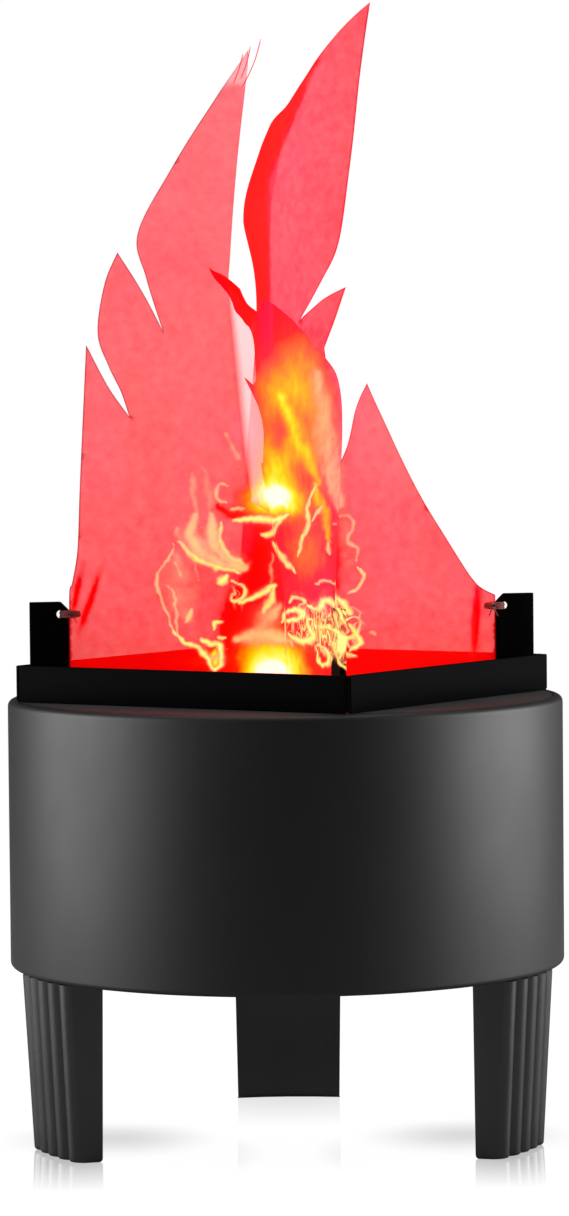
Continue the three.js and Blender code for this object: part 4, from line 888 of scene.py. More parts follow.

# Painted streams of heat, licks of flame and embers: strength, half width and the points that they pass
STREAMS = [
    (0.36, 1.3, [(-0.4, 180.5), (1.8, 176), (3.6, 170.4), (5.6, 166), (7.0, 162.8), (8.6, 159.8)]),
    (0.4, 1.0, [(7.5, 160), (9.5, 154), (10.5, 147)]),
    (0.75, 1.5, [(-17.3, 118.5), (-17, 115.5)]),
]
LICKS = [
    (0.36, 3.4, [(-22, 148), (-20.5, 144), (-15, 141)]),
    (0.26, 4.0, [(-26, 142), (-25, 134), (-23, 127)]),
    (0.48, 1.9, [(-11.5, 121.3), (-7.5, 122.5), (-3, 122.2), (1.5, 121)]),
    (0.4, 2.4, [(-7, 123.5), (-4, 126.5), (-1.5, 129)]),
    (0.4, 2.8, [(8.0, 186), (9.5, 177), (10.5, 168), (12.0, 161), (13.5, 154)]),
    (0.2, 2.4, [(13.5, 156), (14.5, 149), (15, 142)]),
    (0.5, 0.35, [
        (-26.5, 145), (-28.5, 140.5), (-30.5, 137), (-30.5, 134), (-29, 130), (-28, 126.5),
        (-26.5, 122.5)]),
    (1.0, 0.5, [(-27, 124), (-24.5, 121), (-21.5, 120.5), (-19.5, 118), (-18.5, 115.5), (-17, 114)]),
    (1.05, 0.55, [(-17, 114), (-15.5, 116), (-16, 120), (-18.5, 121), (-20.5, 122.7)]),
    (0.45, 0.4, [(-28.5, 135), (-26.5, 132.5), (-26, 129.5), (-26.5, 126.5), (-26, 123.5)]),
    (0.4, 0.4, [(-26.5, 140.5), (-25, 137.5)]),
    (0.35, 0.4, [(-21.7, 140), (-21, 136)]),
    (0.6, 0.6, [(-23.5, 126.5), (-22, 129)]),
    (0.48, 1.7, [(-21.5, 152), (-22.5, 147.5), (-21, 143.5), (-16.5, 140.5), (-10, 139)]),
    (0.5, 1.6, [(-17.3, 152), (-17.7, 147.5), (-16, 143), (-12, 140.5), (-9, 139.2)]),
    (0.72, 0.5, [(-15.3, 150), (-15.7, 146.5), (-13.7, 142.5), (-9.5, 140)]),
    (0.8, 0.5, [(-25.5, 145.5), (-21.5, 141.5), (-16.5, 139.2), (-10.5, 138)]),
    (0.3, 1.2, [(-25.5, 149), (-24.5, 145)]),
    (0.3, 0.9, [(-21, 152), (-21.5, 157.5), (-22, 162.5)]),
    (0.25, 1.2, [(-17.7, 153), (-18.5, 158.5), (-19.7, 163.5)]),
    (0.45, 0.5, [(-13.7, 155), (-16.5, 156.2), (-15.3, 159.4), (-13, 158.6)]),
    (0.4, 0.6, [(-10.4, 163.5), (-12, 167.5), (-13.7, 172.5)]),
    (0.5, 0.4, [(-12.5, 153.5), (-9.5, 153.7)]),
    (1.0, 0.6, [(-12, 150.5), (-7, 151), (-2.5, 150.5), (1, 152)]),
    (0.75, 0.5, [(-0.7, 150.5), (-2.8, 147.3), (-5.6, 147)]),
    (0.8, 0.45, [(8, 159.5), (5.7, 154), (6, 150.5), (4.5, 146.5), (3.3, 142)]),
    (0.7, 0.35, [(9, 154.5), (7, 151.3)]),
    (0.8, 0.5, [(-2.4, 145), (0, 141), (2.5, 138)]),
    (0.6, 0.4, [(10.2, 146.5), (10.6, 143)]),
    (1.0, 0.55, [(-10.5, 130), (-6.5, 132), (-3.2, 134.4), (-2, 134.4)]),
    (0.8, 0.6, [(-2.4, 134), (-3.6, 130.7), (-4.8, 128)]),
    (0.3, 0.5, [(-2.8, 142.5), (-3, 134.4), (-2, 128)]),
    (1.0, 0.8, [(-15.7, 135.2), (-14, 136.8)]),
    (0.85, 0.35, [(-13, 136), (-9.6, 134.4), (-10.4, 131), (-12.5, 131), (-12, 133)]),
    (1.0, 0.45, [(-17, 124), (-16.5, 126), (-14.9, 126.3)]),
    (0.8, 0.35, [(-16.5, 122.3), (-14.5, 121.8)]),
    (1.0, 0.5, [(-0.7, 125.5), (1, 128.3), (3.3, 129.5), (4.5, 128.3), (3, 126.7), (0.5, 126)]),
    (0.8, 0.3, [(1.3, 130.7), (2.5, 132.4), (5, 132), (3.3, 130.3)]),
    (1.0, 0.6, [(5.7, 131), (8, 130.3), (9.7, 132.8), (11.8, 132), (13, 129.5)]),
    (1.0, 0.6, [(5.7, 126.3), (7, 124), (6, 122.3), (3.3, 122), (1.3, 123)]),
    (1.0, 0.5, [(8, 126.3), (10.6, 126.7), (13, 125), (13.8, 122.3), (12.6, 120)]),
    (0.95, 0.35, [(7.3, 121), (8, 117.8), (9.7, 118.2), (10.2, 121.5), (8, 122)]),
    (1.0, 0.5, [(15.8, 124.7), (17.4, 122.3), (18.6, 120.2), (16.2, 118.2)]),
    (1.0, 0.6, [(13.4, 131), (15.4, 129.5), (16.2, 127.5)]),
    (0.75, 0.35, [(15.4, 132), (18.2, 134), (19.4, 136), (17.8, 139)]),
    (0.4, 0.5, [(17.4, 140.4), (17.8, 143.3), (15.8, 145.7), (17.4, 149), (14.6, 151), (11.8, 150.5)]),
    (0.45, 0.5, [(21, 122.7), (22.7, 122)]),
    (0.8, 0.4, [(11.8, 123.5), (12.2, 119), (15, 117.4), (17.8, 116.6)]),
    (0.6, 0.3, [(7.7, 136.4), (9.7, 137.2), (12.2, 136.4)]),
]
EMBERS = [
    (1.0, 2.4, [(-5.5, 149), (-6.2, 141), (-8, 134.5), (-12, 129), (-13.2, 123), (-12.6, 114)]),
    (0.9, 0.6, [(-16.5, 154.6), (-13, 152.2), (-9.6, 152)]),
    (0.6, 2.0, [(9.5, 156), (11, 148), (11.8, 140), (12, 133)]),
    (0.7, 3.5, [(7, 114), (13, 118)]),
]

# Where the painted flames break up into fine threads: centre, reach across, reach up and strength
TANGLES = [
    (8.5, 126.0, 7.8, 5.6, 1.2),
    (15.2, 122.5, 4.4, 5.0, 0.75),
    (-11.0, 132.5, 3.0, 5.0, 0.6),
    (-17.0, 118.0, 4.5, 4.0, 0.6),
    (-26.5, 131.0, 4.5, 9.0, 0.4),
    (-18.0, 146.0, 6.5, 7.0, 0.42),
    (-19.0, 159.0, 5.0, 8.0, 0.3),
    (16.0, 141.0, 4.0, 9.0, 0.35),
    (6.0, 148.0, 5.0, 8.0, 0.35),
]
FIRE_WARP = 0.8
FIRE_WARP_SCALE = 0.25
MILLIMETRES = 1000.0


def catmull_rom(points, steps):
    """Points along a uniform Catmull-Rom curve, its end left out. Two points make a straight line."""
    result = []
    last = len(points) - 1
    for i in range(last):
        before, here = points[max(i - 1, 0)], points[i]
        there, after = points[i + 1], points[min(i + 2, last)]
        for k in range(steps):
            t = k / steps
            place = []
            for p0, p1, p2, p3 in zip(before, here, there, after):
                v0, v1 = (p2 - p0) / 2, (p3 - p1) / 2
                cubic = (2 * p1 - 2 * p2 + v0 + v1) * t ** 3
                square = (3 * p2 - 3 * p1 - 2 * v0 - v1) * t ** 2
                place.append(cubic + square + v0 * t + p1)
            result.append(tuple(place))
    return result


def nearest(points, line):
    """The distance of points from a line through places, and how far along it the nearest place is."""
    first = line[:-1]
    along = line[1:] - first
    offset = points[:, None, :] - first
    share = np.clip((offset * along).sum(2) / (along ** 2).sum(1), 0, 1)
    gaps = np.linalg.norm(offset - share[..., None] * along, axis=2)
    best = gaps.argmin(1)
    rows = np.arange(len(points))
    return gaps[rows, best], (best + share[rows, best]) / len(along)


def streaks(flat, rows):
    """The strongest of many strokes at each point, each fading to its sides and its ends."""
    strength = np.zeros(len(flat))
    for gain, width, path in rows:
        gap, share = nearest(flat, np.array(catmull_rom(path, 6) + path[-1:]))
        wide = width * (0.5 + 0.7 * np.sin(math.pi * share))
        fade = 0.8 * np.exp(-(gap / wide) ** 2) + 0.2 * np.exp(-(gap / wide / 2.6) ** 2)
        strength = np.maximum(strength, gain * fade)
    return strength


def spots(flat, rows):
    """The sum of many soft spots at each point."""
    total = np.zeros(len(flat))
    for x, z, across, up, gain, *sharp in rows:
        far = np.abs((flat - (x, z)) / (across, up)) ** (sharp[0] if sharp else 2)
        total += gain * np.exp(-far.sum(1))
    return total


def fire_on(points):
    """How the fire's painted light shows at points in the cloth: its glow, its licks, its fine threads and
    its embers.
    """
    flat = []
    for point in points:
        place = Vector((point.x, point.y * 0.25, point.z)) * MILLIMETRES * FIRE_WARP_SCALE
        swirl = noise_field.noise_vector(place) + 0.5 * noise_field.noise_vector(place * 3)
        swirl *= FIRE_WARP
        flat.append((point.x * MILLIMETRES + swirl.x, point.z * MILLIMETRES + swirl.z))
    flat = np.array(flat)
    fields = {
        "glow": streaks(flat, STREAMS) + spots(flat, GLOWS),
        "lick": streaks(flat, LICKS),
        "tangle": spots(flat, TANGLES),
        "ember": streaks(flat, EMBERS),
    }
    return {label: np.clip(values, 0, 1.4) for label, values in fields.items()}


# The flame cloth

def edge_points(edge, inset):
    length = math.dist(*[(a * SILK_SPAN, u * SILK_HEIGHT) for a, u in (edge[0], edge[-1])])
    steps = max(1, math.ceil(length / CLOTH_STEP)) if len(edge) == 2 else EDGE_STEPS
    return [(1 - (1 - across) * inset, up) for across, up in catmull_rom(edge, steps)]


def within(points, outline):
    """Which points lie inside a closed outline, and how far each is from it."""
    start = np.array(outline)
    end = np.roll(start, -1, axis=0)
    rise = np.where(end[:, 1] == start[:, 1], 1.0, end[:, 1] - start[:, 1])
    x, y = points[:, :1], points[:, 1:]
    crossing = (start[:, 1] > y) != (end[:, 1] > y)
    reached = x < (end[:, 0] - start[:, 0]) * (y - start[:, 1]) / rise + start[:, 0]
    closed = np.vstack((start, start[:1]))
    return (crossing & reached).sum(1) % 2 == 1, nearest(points, closed)[0]


def flat_area(outline):
    pairs = zip(outline, outline[1:] + outline[:1])
    return abs(sum(ax * by - bx * ay for (ax, ay), (bx, by) in pairs)) / 2


ROW_STEP = 0.87


def lattice(low, high, step):
    """Points in staggered rows."""
    points = [low]
    rows = math.ceil((high[1] - low[1]) / (step * ROW_STEP))
    count = math.ceil((high[0] - low[0]) / step)
    for row in range(rows):
        y = low[1] + (row + 0.5) * step * ROW_STEP
        first = 0.25 if row % 2 else 0.75
        points += [(low[0] + (k + first) * step, y) for k in range(count)]
    return np.array(points)


def flat_cloth(outline, fine_boxes):
    """Triangles over an outline, fine in some boxes, each with its step, and with a narrow hem."""
    edge = np.array(outline)
    along = np.roll(edge, -1, axis=0) - np.roll(edge, 1, axis=0)
    normal = np.stack((-along[:, 1], along[:, 0]), 1) / np.linalg.norm(along, axis=1)[:, None]
    coarse = lattice(edge.min(0), edge.max(0), CLOTH_STEP)
    groups = [(edge + normal * side * HEM_WIDTH, HEM_WIDTH * 0.9) for side in (-1, 1)]
    for low, high, step in fine_boxes:
        coarse = coarse[~((coarse > low) & (coarse < high)).all(1)]
        groups.append((lattice(low, high, step), step * 0.5 + HEM_WIDTH))
    groups.append((coarse, CLOTH_STEP * 0.55 + HEM_WIDTH))
    points = [edge]
    for group, clear in groups:
        inner, gap = within(group, outline)
        points.append(group[inner & (gap > clear)])
    points = [Vector(p) for p in np.vstack(points)]
    result = delaunay_2d_cdt(points, [], [list(range(len(outline)))], 1, 1e-7)
    flat = np.array([tuple(p) for p in result[0]])
    hem = np.clip(1 - within(flat, outline)[1] / HEM_WIDTH, 0, 1)
    return flat, [tuple(face) for face in result[2]], hem


def fine_folds(across, up):
    """Small soft folds that run up the cloth, none at its sides."""
    still = clamp(4 * abs(across) * (1 - abs(across))) * smooth_step(up, 0.0, 0.2)
    drift = 0.6 * math.sin(5.2 * up + 2.1 * across)
    broad = math.sin(19 * across + drift * 4) * FOLD_DEPTHS[0]
    return (broad + math.sin(41 * across - 7 * up) * FOLD_DEPTHS[1]) * still


def at(across, offset, up):
    """A place in a cloth's own frame: along its span, off its plane and up from the deck."""
    reach = (POST_INNER - EDGE_GAP - SILK_SPAN) * smooth_step(abs(across), 0.9, 1.0)
    return Vector((across * SILK_SPAN + math.copysign(reach, across), offset, SILK_FOOT + up * SILK_HEIGHT))


def wide_shape(across, up):
    to_post = clamp(abs(across))
    billow = WIDE_BILLOW * math.sin(math.pi * clamp(across, -1, 1))
    ripple = WIDE_RIPPLE * 4 * to_post * (1 - to_post) * math.sin(4 * math.pi * to_post + 3 * up)
    pinch = PLEAT_DEPTH * (pleat_at(across, up) - 0.5 * pleat_at(across + 0.02, up))
    offset = (billow + ripple) * smooth_step(up, 0, 0.5) + fine_folds(across, up) + pinch
    return at(across, offset, up)


def wick_at(across, up):
    """How far the front leaf is part of its wick, which a slit parts from the leaf's peak."""
    low = 1 - smooth_step(across, 0.055, 0.19)
    high = 1.0 if across < WICK_SLIT else 0.0
    parted = smooth_step(up, WICK_SLIT_FOOT, WICK_SLIT_FOOT + 0.012)
    return smooth_step(up, WICK_FOOT - 0.02, WICK_FOOT + 0.01) * (low + (high - low) * parted)


def front_shape(across, up):
    lean = smooth_step(up, *FRONT_LEAN_RANGE) * (FRONT_BELLY * across - FRONT_LEAN)
    wick = wick_at(across, up)
    curl = WICK_CURL * clamp((up - WICK_FOOT) / WICK_HEIGHT) ** 1.25 * wick
    place = at(across, lean - curl + fine_folds(across, up), up)
    place.z += WICK_SLANT * (across - WICK_MIDDLE) * SILK_SPAN * wick
    return place


def front_marks(across, up):
    """How far the front leaf is doubled, along its wick, free edge and peak, and how sheer it is."""
    edge = (1 - smooth_step(across, 0.095, 0.125)) * smooth_step(up, 0.4, 0.5)
    peak = smooth_step(across, 0.25, 0.28) * (1 - smooth_step(across, 0.55, 0.9))
    peak *= smooth_step(up, 0.44, 0.52)
    between = smooth_step(across, 0.105, 0.13) * (1 - smooth_step(across, 0.235, 0.265))
    thin = 0.12 * between * smooth_step(up, 0.43, 0.5)
    return max(wick_at(across, up) * (across < WICK_SLIT), 0.9 * edge, 0.75 * peak), thin


def rear_shape(across, up):
    tip_share = clamp((up - REAR_LEAN_RANGE[1]) / (1 - REAR_LEAN_RANGE[1]))
    lean = REAR_LEAN * smooth_step(up, *REAR_LEAN_RANGE) + REAR_TIP_LEAN * tip_share ** 2
    fold = math.exp(-max(across * SILK_SPAN - LEAF_SEAM_INSET, 0) / REAR_FOLD_REACH)
    height = math.exp(-((up - REAR_BULGE_MIDDLE) / REAR_BULGE_SPREAD) ** 2)
    bulge = REAR_BULGE * height * clamp(across / 0.68)
    return at(across, bulge - lean * fold + fine_folds(across, up), up)


BAND_MIDDLE = -0.0024
BAND_RISE_FROM = 0.234
BAND_SPREAD = 0.43
REAR_WARMTH = 0.28


def rear_marks(across, up):
    """The doubled cloth along the rear leaf's fold, and the sheer patch low down at its free edge."""
    place = rear_shape(across, up)
    sideways = -place.x * math.sin(FRAME_TURN) - place.y * math.cos(FRAME_TURN)
    line = BAND_MIDDLE + BAND_SPREAD * max(0, place.z - BAND_RISE_FROM)
    band = 1 - smooth_step(sideways - line, -0.0014, 0.0008)
    sheer = smooth_step(across, 0.3, 0.42) * smooth_step(up, 0.25, 0.29) * (1 - smooth_step(up, 0.42, 0.5))
    return max(band, REAR_WARMTH) * smooth_step(up, 0.42, 0.56), sheer


# Pleats that run up from the ties at the posts: place, width, height, reach and slant, as shares
PLEATS = [
    (-0.91, 0.015, 0.137, 0.04, 1.1),
    (-0.965, 0.012, 0.15, 0.03, 0.6),
    (0.915, 0.018, 0.1, 0.05, 0.2),
]


def pleat_at(across, up):
    depth = 0.0
    for centre, width, middle, height, slant in PLEATS:
        bend = centre + slant * (up - middle)
        depth += math.exp(-((across - bend) / width) ** 2 - ((up - middle) / height) ** 2)
    return clamp(depth)


def wide_marks(across, up):
    """How far the wide sheet is doubled by its pleats, and how sheer its highest tip is."""
    return pleat_at(across, up), 0.45 * smooth_step(up, 0.872, 0.884)


STRIP_ROWS = 8
STRIP_FULL_WIDTH = 0.004


def strip(border, widths, direction, bulge):
    """Places on a curved band that runs on from a border in a direction, as wide as the widths say."""
    places = []
    for i, place in enumerate(border):
        share = i / (len(border) - 1) * (len(widths) - 1)
        k = min(int(share), len(widths) - 2)
        width = widths[k] + (widths[k + 1] - widths[k]) * (share - k)
        for j in range(STRIP_ROWS + 1):
            t = j / STRIP_ROWS
            rise = math.sin(math.pi * t ** 0.7) * min(1, width / STRIP_FULL_WIDTH)
            places.append(place + direction * width * t + bulge * rise)
    return places


def cloth(name, node, edges, shape, marks, turn, fire, strips=(), leaf=False):
    """One sheet of flame silk, cut to its outline, with the strips that run on from its edges."""
    inset = (SILK_SPAN - LEAF_SEAM_INSET) / SILK_SPAN if leaf else 1.0
    size = np.array((SILK_SPAN, SILK_HEIGHT))
    sides = [edge_points(edge, inset) for edge in edges]
    outline = [(across * SILK_SPAN, up * SILK_HEIGHT) for side in sides for across, up in side]
    boxes = [((fire[0] * SILK_SPAN, 0), (fire[1] * SILK_SPAN, FIRE_TOP - SILK_FOOT), FIRE_STEP)]
    for low, high in () if leaf else ((-1, -GATHER_FROM), (GATHER_FROM, 1)):
        boxes.append(((low * SILK_SPAN, 0), (high * SILK_SPAN, GATHER_TOP * SILK_HEIGHT), GATHER_STEP))
    flat, faces, hem = flat_cloth(outline, boxes)
    for edge, *_ in strips:
        near = nearest(flat, np.array(sides[edge]) * size)[0] < 2 * HEM_WIDTH
        hem = np.where(near, 0.25 * hem, hem)
    shares = [(x / SILK_SPAN, z / SILK_HEIGHT) for x, z in flat]
    vertices = [shape(*share) for share in shares]
    pleats, veils = zip(*[marks(*share) for share in shares])
    layers = {"hem": list(hem), "pleat": list(pleats), "veil": list(veils)}
    area = flat_area(outline)
    for edge, first, last, widths, direction, bulge, sheer in strips:
        run = sides[edge] + [sides[edge + 1][0]]
        run = run[int(first * (len(run) - 1)):int(last * (len(run) - 1)) + 1]
        border = [shape(across, up) for across, up in run]
        faces += net(STRIP_ROWS + 1, len(border), len(vertices))
        vertices += strip(border, widths, Vector(direction), Vector(bulge))
        for t in [j / STRIP_ROWS for j in range(STRIP_ROWS + 1)] * len(border):
            layers["veil"].append(min(1, 3 * t) if sheer else 0.8 * smooth_step(t, 0.6, 1.0))
            layers["pleat"].append(0.0 if sheer else 1.0 - t * 0.4)
            layers["hem"].append(1.0 if sheer and t == 1 else 0.0)
        length = sum((b - a).length for a, b in zip(border, border[1:]))
        area += length * sum(widths) / len(widths)
    if leaf:
        # The strip that is sewn to the middle of the wide sheet
        run = [shape(across, up) for across, up in sides[0] if up < 0.25]
        faces += net(4, len(run), len(vertices))
        vertices += [place.lerp(Vector((0, 0, place.z)), t / 3) for place in run for t in range(4)]
        for values in layers.values():
            values += [0.0] * (4 * len(run))
    spin = Matrix.Rotation(turn, 3, "Z")
    vertices = [spin @ vertex for vertex in vertices]
    layers.update(fire_on(vertices))
    layers["hem"] = [hem * (1 - clamp(1.3 * glow)) for hem, glow in zip(layers["hem"], layers["glow"])]
    piece = mesh_piece(name, vertices, faces)
    paint(piece, layers)
    smooth(piece, math.pi)
    finish_piece(piece, "silk_frame", "silk", node)


# Strips that run on from an edge: the edge, the shares of it where the strip begins and ends, its
# widths, its direction, its bulge, and whether it is sheer
FOLD_DIRECTION = (-0.5, -0.86, 0)
FOLD_BULGE = (-0.0006, 0.0006, 0)
VEIL_WIDTHS = [0.0002, 0.0046, 0.0060, 0.0060, 0.0062, 0.0056, 0.0036, 0.0004]
FOLD_WIDTHS = [0.0, 0.0004, 0.0014, 0.0032, 0.0054, 0.0070, 0.0074]
LOW_FOLD_WIDTHS = [0.0074, 0.0060, 0.0042, 0.0030, 0.0004]
VEIL_STRIP = (6, 0.58, 0.98, VEIL_WIDTHS, (1, 0, 0), (0, 0, 0), True)
FOLD_STRIPS = [
    (4, 0.2, 1.0, FOLD_WIDTHS, FOLD_DIRECTION, FOLD_BULGE, False),
    (5, 0.0, 0.42, LOW_FOLD_WIDTHS, FOLD_DIRECTION, FOLD_BULGE, False),
]


def make_silk():
    cloth("flame_wide", "silk_wide", WIDE_EDGES, wide_shape, wide_marks, FRAME_TURN,
          (-0.62, 0.46), [VEIL_STRIP])
    cloth("flame_front", "silk_front", FRONT_EDGES, front_shape, front_marks, FRAME_TURN - math.pi / 2,
          (-0.08, 1), leaf=True)
    cloth("flame_rear", "silk_rear", REAR_EDGES, rear_shape, rear_marks, FRAME_TURN + math.pi / 2,
          (0, 0), FOLD_STRIPS, leaf=True)


# Threads: the ties, the frayed tip and the seam

THREAD_CREASE = math.radians(80)
TIE_TURNS = 4
TIE_STEPS = 36
TIE_WIRE = 0.00026
TIE_PITCH = 1.7 * TIE_WIRE
TIE_REACH = 0.0017
TIE_PINCH = 0.35
TIE_SLACK = 0.06
TAIL_WIRE = 0.00016
SEAM_STITCHES = 12
SEAM_PITCH = 0.003
STITCH_RISE = 0.0012
SEAM_WIRE = 0.00014
FRAY_STEPS = 12
FRAY_WIRE = 0.00012

# Loose threads at the left tip: root and end, across and up in the frame's plane, and how far each bows
FRAYS = [
    ((-0.0092, 0.2550), (-0.0045, 0.2668), 0.0006),
    ((-0.0094, 0.2572), (-0.0070, 0.2650), 0.0003),
    ((-0.0112, 0.2560), (-0.0088, 0.2632), 0.0002),
]


def tube(points, radius, sides=8):
    """Corners and faces of a round thread along a list of points, narrower at its ends."""
    up = Vector((0.3, 0.2, 1)).normalized()
    last = len(points) - 1
    rings = []
    for i, point in enumerate(points):
        along = (points[min(i + 1, last)] - points[max(i - 1, 0)]).normalized()
        first = along.cross(up).normalized()
        second = along.cross(first)
        reach = radius if 0 < i < last else radius * 0.5
        rings.append([point + (first * math.cos(a) + second * math.sin(a)) * reach for a in turns(sides)])
    return loft(rings)


def thread_piece(name, parts, slot, *replaced, turn=0.0):
    """One piece on the silk's frame from the corners and faces of several threads."""
    vertices, faces = [], []
    for more, panels in parts:
        start = len(vertices)
        vertices += more
        faces += [tuple(start + i for i in panel) for panel in panels]
    piece = mesh_piece(name, vertices, faces)
    turned(piece, turn)
    smooth(piece, THREAD_CREASE)
    finish_piece(piece, "silk_frame", slot, *replaced)
    return piece


def make_tie(node):
    """Turns of thread through the post's hole and the cloth's corner, with a small knot and two tails."""
    parts = []
    for turn in range(TIE_TURNS):
        rise = (turn - (TIE_TURNS - 1) / 2) * TIE_PITCH
        slack = 1 - TIE_SLACK * (turn % 2)
        loop = []
        for k in range(TIE_STEPS + 1):
            angle = 2 * math.pi * k / TIE_STEPS
            x = RING_CENTRE + RING_RADIUS * slack * math.cos(angle)
            z = RING_Z + rise * (1 - TIE_PINCH * smooth_step(-math.cos(angle), 0.2, 1.0))
            loop.append(Vector((x, TIE_REACH * slack * math.sin(angle), z)))
        parts.append(tube(loop, TIE_WIRE))
    front = Vector((RING_CENTRE - 0.4 * RING_RADIUS, -TIE_REACH - TIE_WIRE, RING_Z))
    for k in range(2):
        knot, tail = [], []
        for a in turns(12):
            bend = Vector((0.0007 * math.cos(a), 0.0003 * math.sin(a * (k + 1)), 0.0006 * math.sin(a)))
            knot.append(front + bend)
        for t in range(8):
            tail.append(front + Vector((0.0005 * (2 * k - 1), -0.0003, -0.0011)) * t / 3)
        parts += [tube(knot, TIE_WIRE), tube(tail, TAIL_WIRE)]
    return thread_piece("tie_" + node, parts, "thread", node, turn=azimuth(node))


def make_fray():
    """Loose threads of silk at the left tip, one of them longer than the rest."""
    parts = []
    for root, end, bow in FRAYS:
        points = []
        for i in range(FRAY_STEPS + 1):
            t = i / FRAY_STEPS
            x = root[0] + (end[0] - root[0]) * t + bow * math.sin(math.pi * t)
            z = root[1] + (end[1] - root[1]) * t
            points.append(Vector((x, x * math.tan(FRAME_TURN), z)))
        parts.append(tube(points, FRAY_WIRE, 6))
    thread_piece("frayed_threads", parts, "silk")


def make_seam():
    """Stitches that hold the two leaves to the middle of the wide sheet."""
    parts = []
    for k in range(SEAM_STITCHES):
        foot = SILK_FOOT + STITCH_RISE + SEAM_PITCH * k
        for side in (-1, 1):
            stitch = []
            for i in range(7):
                a = math.pi * (i - 3) / 6
                z = foot + STITCH_RISE * i / 6
                stitch.append(Vector((0.0011 * side * math.cos(a), 0.0009 * math.sin(a), z)))
            parts.append(tube(stitch, SEAM_WIRE, 6))
    paint_fire(thread_piece("seam_stitches", parts, "silk", turn=FRAME_TURN))


# Floor, light and camera

FLOOR_RADIUS = 0.62
FLOOR_THICKNESS = 0.012
FLOOR_TONES = [(0.3, (0.43, 0.43, 0.43)), (0.7, (0.47, 0.47, 0.47))]
FLOOR_WHITE = 1.05
FOOT_CIRCLE = (LEG_INNER + LEG_OUTER) / 2

# The painted shade inside each front foot: where it lies, how far it reaches and how dark it is
SHADE_INWARD_SHARE = 0.8
SHADE_BACK = 0.016
SHADE_REACH = 0.03
FOOT_SHADE = 0.42

# How strongly the floor mirrors each leg at its foot, and between which distances that fades out
FOOT_MIRRORS = {"leg_rear": 0.22, "leg_front_left": 0.5, "leg_front_right": 0.5}
MIRROR_NEAR = 0.01
MIRROR_FAR = 0.05

# The lights
STRIP_ANGLES = {"left_strip": 182, "right_strip": 5}
STRIP_DISTANCE = 1.05
STRIP_HEIGHT = 0.2
STRIP_SIZE = (0.95, 0.8)
STRIP_AIM = (0, 0, 0.08)
STRIP_POWER = 16
TOP_PLACE = (0, -0.1, 1.3)
TOP_SIZE = (1.2, 1.2)
TOP_AIM = (0, 0, 0.1)
TOP_POWER = 6

# The world's dim light, and how much of its white each kind of ray sees: reflections show a dim room
DIM = 0.03
WHITE_SHARES = {"Is Camera Ray": 1, "Is Transmission Ray": 1, "Is Singular Ray": 1, "Is Glossy Ray": 0.06}

CAMERA_PLACE = (0.0005, -1.0845, 0.1814)
CAMERA_PITCH = math.radians(2.766)
CAMERA_ROLL = 0.009
CAMERA_LENS = 132.03
CAMERA_SENSOR = 36


def distance(tree, place, centre):
    return add(tree, "VectorMath", {0: place, 1: tuple(centre)}, 1, operation="DISTANCE")


def make_floor():
    floor = bar("floor", FLOOR_RADIUS, -FLOOR_THICKNESS, 0, 128)
    material, tree, shader, place = new_material("pale_floor")
    wire(tree, shader, {
        "Base Color": ramp(tree, noise(tree, place, 60), FLOOR_TONES),
        "Roughness": 0.6,
        "Specular IOR Level": 0.1,
    })
    band, shade = 0.0, 0.0
    for leg, strength in FOOT_MIRRORS.items():
        foot = around_z(FOOT_CIRCLE, azimuth(leg), 0)
        fade = mapped(tree, distance(tree, place, foot), MIRROR_NEAR, MIRROR_FAR, strength, 0.0, "LINEAR")
        band = greatest(tree, band, fade)
        # A painted shade inside each front foot, which darkens the white that the camera sees
        if leg != "leg_rear":
            centre = foot * SHADE_INWARD_SHARE + Vector((0, SHADE_BACK, 0))
            fade = mapped(tree, distance(tree, place, centre), 0.0, SHADE_REACH, FOOT_SHADE, 0.0)
            shade = greatest(tree, shade, fade)
    bright = math_node(tree, "MULTIPLY_ADD", shade, -FLOOR_WHITE, FLOOR_WHITE)
    white = add(tree, "Emission", {"Color": WHITE, "Strength": bright})
    camera_ray = add(tree, "LightPath", output="Is Camera Ray")
    pale = mapped(tree, distance(tree, place, (0, 0, 0)), 0.05, 0.14, 0.94, 1.0)
    lit = add(tree, "MixShader", {0: product(tree, camera_ray, pale), 1: shader.outputs[0], 2: white})
    mirror = add(tree, "BsdfAnisotropic", {"Color": WHITE, "Roughness": 0.0})
    mixed = add(tree, "MixShader", {0: product(tree, camera_ray, band), 1: lit, 2: mirror})
    tree.links.new(mixed, tree.nodes["Material Output"].inputs["Surface"])
    floor.data.materials.append(material)


def soft_light(name, place, aim, size, power):
    data = bpy.data.lights.new(name, "AREA")
    data.shape = "RECTANGLE"
    data.size, data.size_y = size
    data.energy = power
    light = link(name, data)
    light.location = place
    light.rotation_euler = (Vector(aim) - Vector(place)).to_track_quat("-Z", "Y").to_euler()


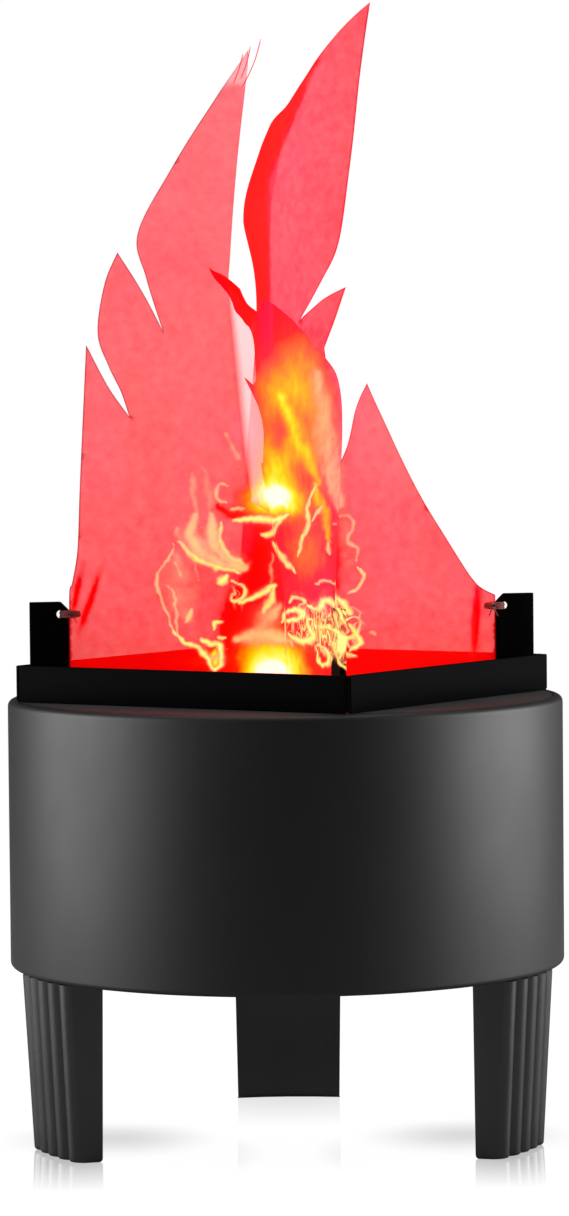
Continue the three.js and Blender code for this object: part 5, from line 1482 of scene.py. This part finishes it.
def make_lights():
    for name, angle in STRIP_ANGLES.items():
        place = around_z(STRIP_DISTANCE, math.radians(angle), STRIP_HEIGHT)
        soft_light(name, place, STRIP_AIM, STRIP_SIZE, STRIP_POWER)
    soft_light("top_soft", TOP_PLACE, TOP_AIM, TOP_SIZE, TOP_POWER)


def make_world():
    world = bpy.data.worlds.new("studio")
    bpy.context.scene.world = world
    world.use_nodes = True
    tree = world.node_tree
    tree.nodes.clear()
    dim = add(tree, "Background", {"Color": WHITE, "Strength": DIM})
    white = add(tree, "Background", {"Color": WHITE, "Strength": 1.0})
    seen = 0.0
    for ray, share in WHITE_SHARES.items():
        seen = greatest(tree, seen, product(tree, add(tree, "LightPath", output=ray), share))
    mixed = add(tree, "MixShader", {0: seen, 1: dim, 2: white})
    output = tree.nodes.new("ShaderNodeOutputWorld")
    tree.links.new(mixed, output.inputs["Surface"])


def make_camera():
    data = bpy.data.cameras.new("camera")
    data.sensor_fit = "AUTO"
    data.sensor_width = CAMERA_SENSOR
    data.lens = CAMERA_LENS
    data.clip_start = 0.05
    camera = link("camera", data)
    camera.location = CAMERA_PLACE
    camera.rotation_euler = (math.pi / 2 - CAMERA_PITCH, CAMERA_ROLL, 0)
    bpy.context.scene.camera = camera


# The whole light

RAIL_EDGE = 0.00015
POST_EDGE = 0.0002

make_camera()
make_world()
make_lights()
make_floor()
for name, node in nodes.items():
    set_material(node, slot_of[name])
make_drum()
make_deck()
for name in FOOT_MIRRORS:
    make_leg(name)
for side in ("rear_right", "rear_left", "front_left", "front_right"):
    refined("frame_rail_" + side, RAIL_EDGE, DRUM_TOP + SEAT_GAP / 10)
for side in ("right", "rear", "left", "front"):
    post = refined("corner_post_" + side, POST_EDGE)
    tie = make_tie("silk_ring_" + side)

# The fire's painted light plays on the front post and its tie, which are the last ones made
light_by_fire(post)
light_by_fire(tie)
refined("bottom_plate", POST_EDGE)
for name in ("switch_housing", "switch_rocker", "power_inlet", "inlet_nut"):
    refined(name, RAIL_EDGE)
make_silk()
make_fray()
make_seam()
bpy.context.scene.view_settings.view_transform = "Standard"
